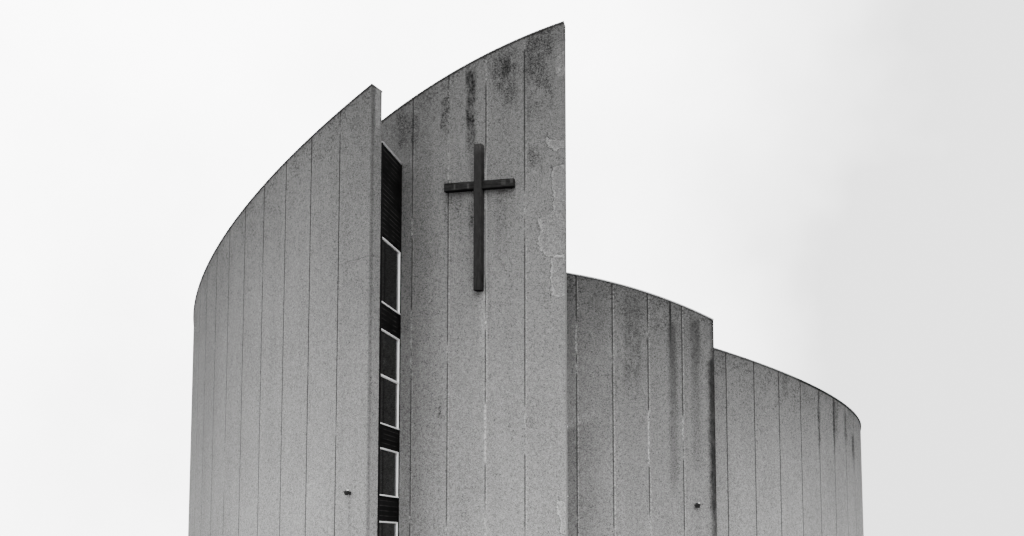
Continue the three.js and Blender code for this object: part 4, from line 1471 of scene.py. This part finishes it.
def facet_frame(shell, degrees):
    """The frame of a wall's flat facet: x along it, y inwards and z up."""
    step = shell.panel / 2.0
    number = math.floor((degrees - shell.joint) / step)
    before = shell.at(shell.joint + number * step)
    after = shell.at(shell.joint + (number + 1) * step)
    way = (after - before).normalized()
    a = math.radians(degrees)
    met = crossing(Vector((shell.x, shell.y)), Vector((math.sin(a), -math.cos(a))), before, way)
    place = Matrix.Rotation(math.atan2(way.y, way.x), 4, "Z")
    return Matrix.Translation((met.x, met.y, 0.0)) @ place


placing = facet_frame(SHELL_B, CROSS_ANGLE)
work = bmesh.new()
add_timber(work, ARM, 0, LENGTHS_ARM)
arm = ride(finish_mesh("arm_timber", work, arm_finish, placing, 50.0), "cross_timber", "cross_arm")

work = bmesh.new()
x0, y0, z0, x1, y1, z1 = UPRIGHT
back = ARM[1] - HAIR
add_timber(work, (x0, y0, z0, x1, back, z1), 2, LENGTHS_UPRIGHT)
for low, high in ((z0 + 0.004, ARM[2] - HAIR), (ARM[5] + HAIR, z1 - 0.004)):
    add_bar(work, (x0 + CHEEK, back - CHEEK_SET, low), (x1 - CHEEK, y1, high), 0.003)
made = finish_mesh("upright_timber", work, upright_finish, placing, 50.0)
upright = ride(made, "cross_timber", "cross_upright")
print("cross:", len(arm.data.polygons), "and", len(upright.data.polygons), "faces")

# %% [markdown]
# ## Floodlights
# Two small floodlights are fixed low on the shells. Each has a dark cast housing and a pale daylight sensor.
# One enamel finish paints both: it reads an attribute that is 1 on the sensor's points and 0 elsewhere.

# %% Enamel
lamp_finish, g, surface, coords = new_material("lamp_enamel", roughness=0.5, specular=0.4)
mottle = g.noise(coords, 30.0, 3.0, 0.6)
sensor = g.out(g.node("ShaderNodeAttribute", {"attribute_name": "sensor"}), "Fac")
set_grey(g, surface, g.clamp(0.003 + 0.005 * mottle + 0.8 * sensor))
set_bump(g, surface, g.noise(coords, 220.0, 2.0), 0.2, 0.0006)
print("lamp_enamel has", len(g.tree.nodes), "nodes")

# %% [markdown]
# The housing has cooling fins at its back and a bezel in front, and it is tipped down on a bent bracket.
# Each lamp's row says which shell holds it, its angle there and the height of its wall plate.

# %% Cast housings
LAMP_TILT_DEG = 28.0
LAMP_NARROW = 0.86
LAMP_FINS = 7
FIN_PITCH = 0.02
LAMPS = {"left": (SHELL_A, -42.9, 3.0), "right": (SHELL_C, 18.65, 2.75)}


def build_lamp(side, shell, degrees, z):
    work = bmesh.new()
    sensor_layer = work.verts.layers.float.new("sensor")
    # The housing, its bezel and its fins, all tipped down together.
    add_bar(work, (-0.072, -0.045, -0.058), (0.072, 0.040, 0.058), 0.012, 3)
    add_bar(work, (-0.078, -0.056, -0.064), (0.078, -0.043, 0.064), 0.004, 2)
    for i in range(LAMP_FINS):
        at = -0.06 + FIN_PITCH * i
        add_bar(work, (at - 0.003, 0.035, -0.042), (at + 0.003, 0.052, 0.042), 0.0015)
    tip = Matrix.Rotation(math.radians(LAMP_TILT_DEG), 4, "X")
    tip = Matrix.Translation((0.0, -0.118, z + 0.070)) @ tip
    bmesh.ops.transform(work, matrix=tip, verts=work.verts)
    # The bracket's two arms and its back, and the plate on the wall.
    for at in (-0.080, 0.077):
        add_bar(work, (at, -0.130, z + 0.045), (at + 0.003, -0.028, z + 0.095), 0.001)
    add_bar(work, (-0.080, -0.032, z + 0.045), (0.080, -0.029, z + 0.095), 0.001)
    add_bar(work, (-0.027, -0.030, z + 0.002), (0.027, -0.0004, z + 0.060), 0.003, 2)
    plain = set(work.verts)
    # The sensor, marked for the finish.
    add_bar(work, (0.020, -0.150, z + 0.110), (0.072, -0.105, z + 0.148), 0.008, 3)
    for point in work.verts:
        if point not in plain:
            point[sensor_layer] = 1.0
    bmesh.ops.scale(work, vec=(LAMP_NARROW, 1.0, 1.0), verts=work.verts)
    made = finish_mesh(f"lamp_{side}", work, lamp_finish, facet_frame(shell, degrees), 40.0)
    return ride(made, "lamp_metal", f"floodlight_{side}")


for side, (shell, degrees, z) in LAMPS.items():
    made = build_lamp(side, shell, degrees, z)
    print(made.name, len(made.data.polygons), "faces")

# %% [markdown]
# ## Roofs, step wall and floor
# The roofs are covered with mineral felt in strips, lapped every metre. They lie low behind the wall tops,
# so their solids stay as they are and only get a finish.

# %% Mineral felt
FELT_W = 1.0
felt, g, surface, coords = new_material("mineral_felt", roughness=0.9, specular=0.2)
x = g.split(coords)[0]
strip_number = g.math("FLOOR", x / FELT_W)
lap = g.math("FRACT", x / FELT_W)
step_up = g.ramp(lap, 0.0, 0.02)
seam = g.band(lap, 0.02, 0.004, 0.012)
chips = g.noise(coords, 60.0, 3.0, 0.7) - 0.5
damp = g.noise(coords, 0.6, 4.0, 0.6) - 0.5
shade = g.out(g.node("ShaderNodeTexWhiteNoise", {"noise_dimensions": "1D"}, {"W": strip_number}))
felt_tone = (0.044 + 0.010 * shade) * (1.0 + 0.8 * chips + 0.9 * damp) * (1.0 - 0.4 * seam)
set_grey(g, surface, g.clamp(felt_tone), (0.97, 0.99, 1.0))
set_bump(g, surface, step_up + 0.15 * chips, 0.6, 0.006)
print("mineral_felt has", len(g.tree.nodes), "nodes")

# %% [markdown]
# The step wall gets the same roughcast as the shells, laid along a straight line. The floor slab shows only
# as a low plinth, cast in two long halves, so a single joint falls on its middle.

# %% Straight roughcast, the plinth, and the solids that keep their shape
STRAIGHT_PANEL = 1.2
STEP_DROP = 0.06
PLINTH_TOP = 6.0
PLINTH_PANEL = 40.0
PLINTH_SPAN = (-30.0, 30.0)


def across_line(start, way):
    return lambda graph, x, y: (x - start.x) * way.x + (y - start.y) * way.y


def below_step(x, y, z):
    return SHELL_A.level + SHELL_A.slope_x * x + SHELL_A.slope_y * y - STEP_DROP - z


spine_span = (0.0, (spine_back - spine_front).length)
straight = roughcast(
    "roughcast_straight", across_line(spine_front, spine_dir), below_step, STRAIGHT_PANEL, spine_span,
    grey=0.9,
)
base_finish = roughcast(
    "roughcast_base", across_line(Vector((0.0, 0.0)), Vector((1.0, 0.0))), lambda x, y, z: PLINTH_TOP - z,
    PLINTH_PANEL, PLINTH_SPAN, grey=0.7, top_dirt=0.1,
)
for node_name, finish in (
    ("roof_high", felt), ("roof_low", felt), ("roof_slot", felt), ("step_wall", straight),
    ("floor_slab", base_finish), ("coping_step", cap_finish["step"]),
):
    dress(node_name, finish)
    print(node_name, "is finished with", finish.name)

# %% [markdown]
# ## Studio
# A pale floor and an even, bright sky give the soft light of an overcast day. One broad lamp from the front
# adds a little shape. The floor is one large plain square.

# %% Floor
FLOOR_SIZE = 900.0
half = FLOOR_SIZE / 2.0
floor_corners = [(-half, -half, 0.0), (half, -half, 0.0), (half, half, 0.0), (-half, half, 0.0)]
floor_mesh = bpy.data.meshes.new("studio_floor")
floor_mesh.from_pydata(floor_corners, [], [(0, 1, 2, 3)])
studio_floor = bpy.data.objects.new("studio_floor", floor_mesh)
bpy.context.scene.collection.objects.link(studio_floor)
floor_finish, g, surface, coords = new_material("studio_floor", roughness=1.0, specular=0.1)
set_grey(g, surface, 0.24 + 0.02 * (g.noise(coords, 0.3, 3.0) - 0.5))
floor_mesh.materials.append(floor_finish)
print("floor:", FLOOR_SIZE, "m square")

# %% [markdown]
# The sky does two things that must be told apart. What lights the building is an even grey, and what the
# camera sees behind it is brighter, with a faint and soft change of tone. A Light Path node asks whether a
# ray comes from the camera, and a Mix Shader chooses between the two.

# %% Sky
SKY_LIGHT = 2.5
SKY_SEEN = 8.0
SKY_LEAST = 2.8
DARKER_RIGHT = 9.0
HAZE = 12.0
BRIGHTER_UP = 3.0

world = bpy.data.worlds.new("sky")
bpy.context.scene.world = world
world.use_nodes = True
g = Graph(world.node_tree)
world.node_tree.nodes.clear()
ray = g.out(g.node("ShaderNodeTexCoord"), "Generated")
across_sky, _, up_sky = g.split(ray)
haze = g.noise(ray, 2.2, 5.0, 0.55) - 0.5
pale = SKY_SEEN - DARKER_RIGHT * g.ramp(across_sky, 0.02, 0.38) + HAZE * haze + BRIGHTER_UP * up_sky
pale = g.math("MAXIMUM", pale, SKY_LEAST)
lit = g.node("ShaderNodeBackground", None, {"Color": (0.9, 0.905, 0.91, 1.0), "Strength": SKY_LIGHT})
seen = g.node("ShaderNodeBackground", None, {"Color": (1.0, 1.0, 1.0, 1.0), "Strength": pale})
from_camera = g.out(g.node("ShaderNodeLightPath"), "Is Camera Ray")
blend = g.node("ShaderNodeMixShader", None, {0: from_camera, 1: g.out(lit), 2: g.out(seen)})
g.node("ShaderNodeOutputWorld", None, {"Surface": g.out(blend)})
print("sky: strength", SKY_LIGHT, "as light and about", SKY_SEEN, "as seen")

# %% [markdown]
# The lamp is a sun as wide as a bank of clouds, so its shadows have no edge.

# %% Light
SUN_STRENGTH = 2.5
SUN_WIDTH_DEG = 50.0
SUN_TILT_DEG = 50.0

sun_data = bpy.data.lights.new("soft_sun", "SUN")
sun_data.energy = SUN_STRENGTH
sun_data.angle = math.radians(SUN_WIDTH_DEG)
sun = bpy.data.objects.new("soft_sun", sun_data)
bpy.context.scene.collection.objects.link(sun)
sun.rotation_euler = (math.radians(SUN_TILT_DEG), 0.0, 0.0)
print("sun", SUN_TILT_DEG, "degrees from overhead, strength", SUN_STRENGTH)

# %% [markdown]
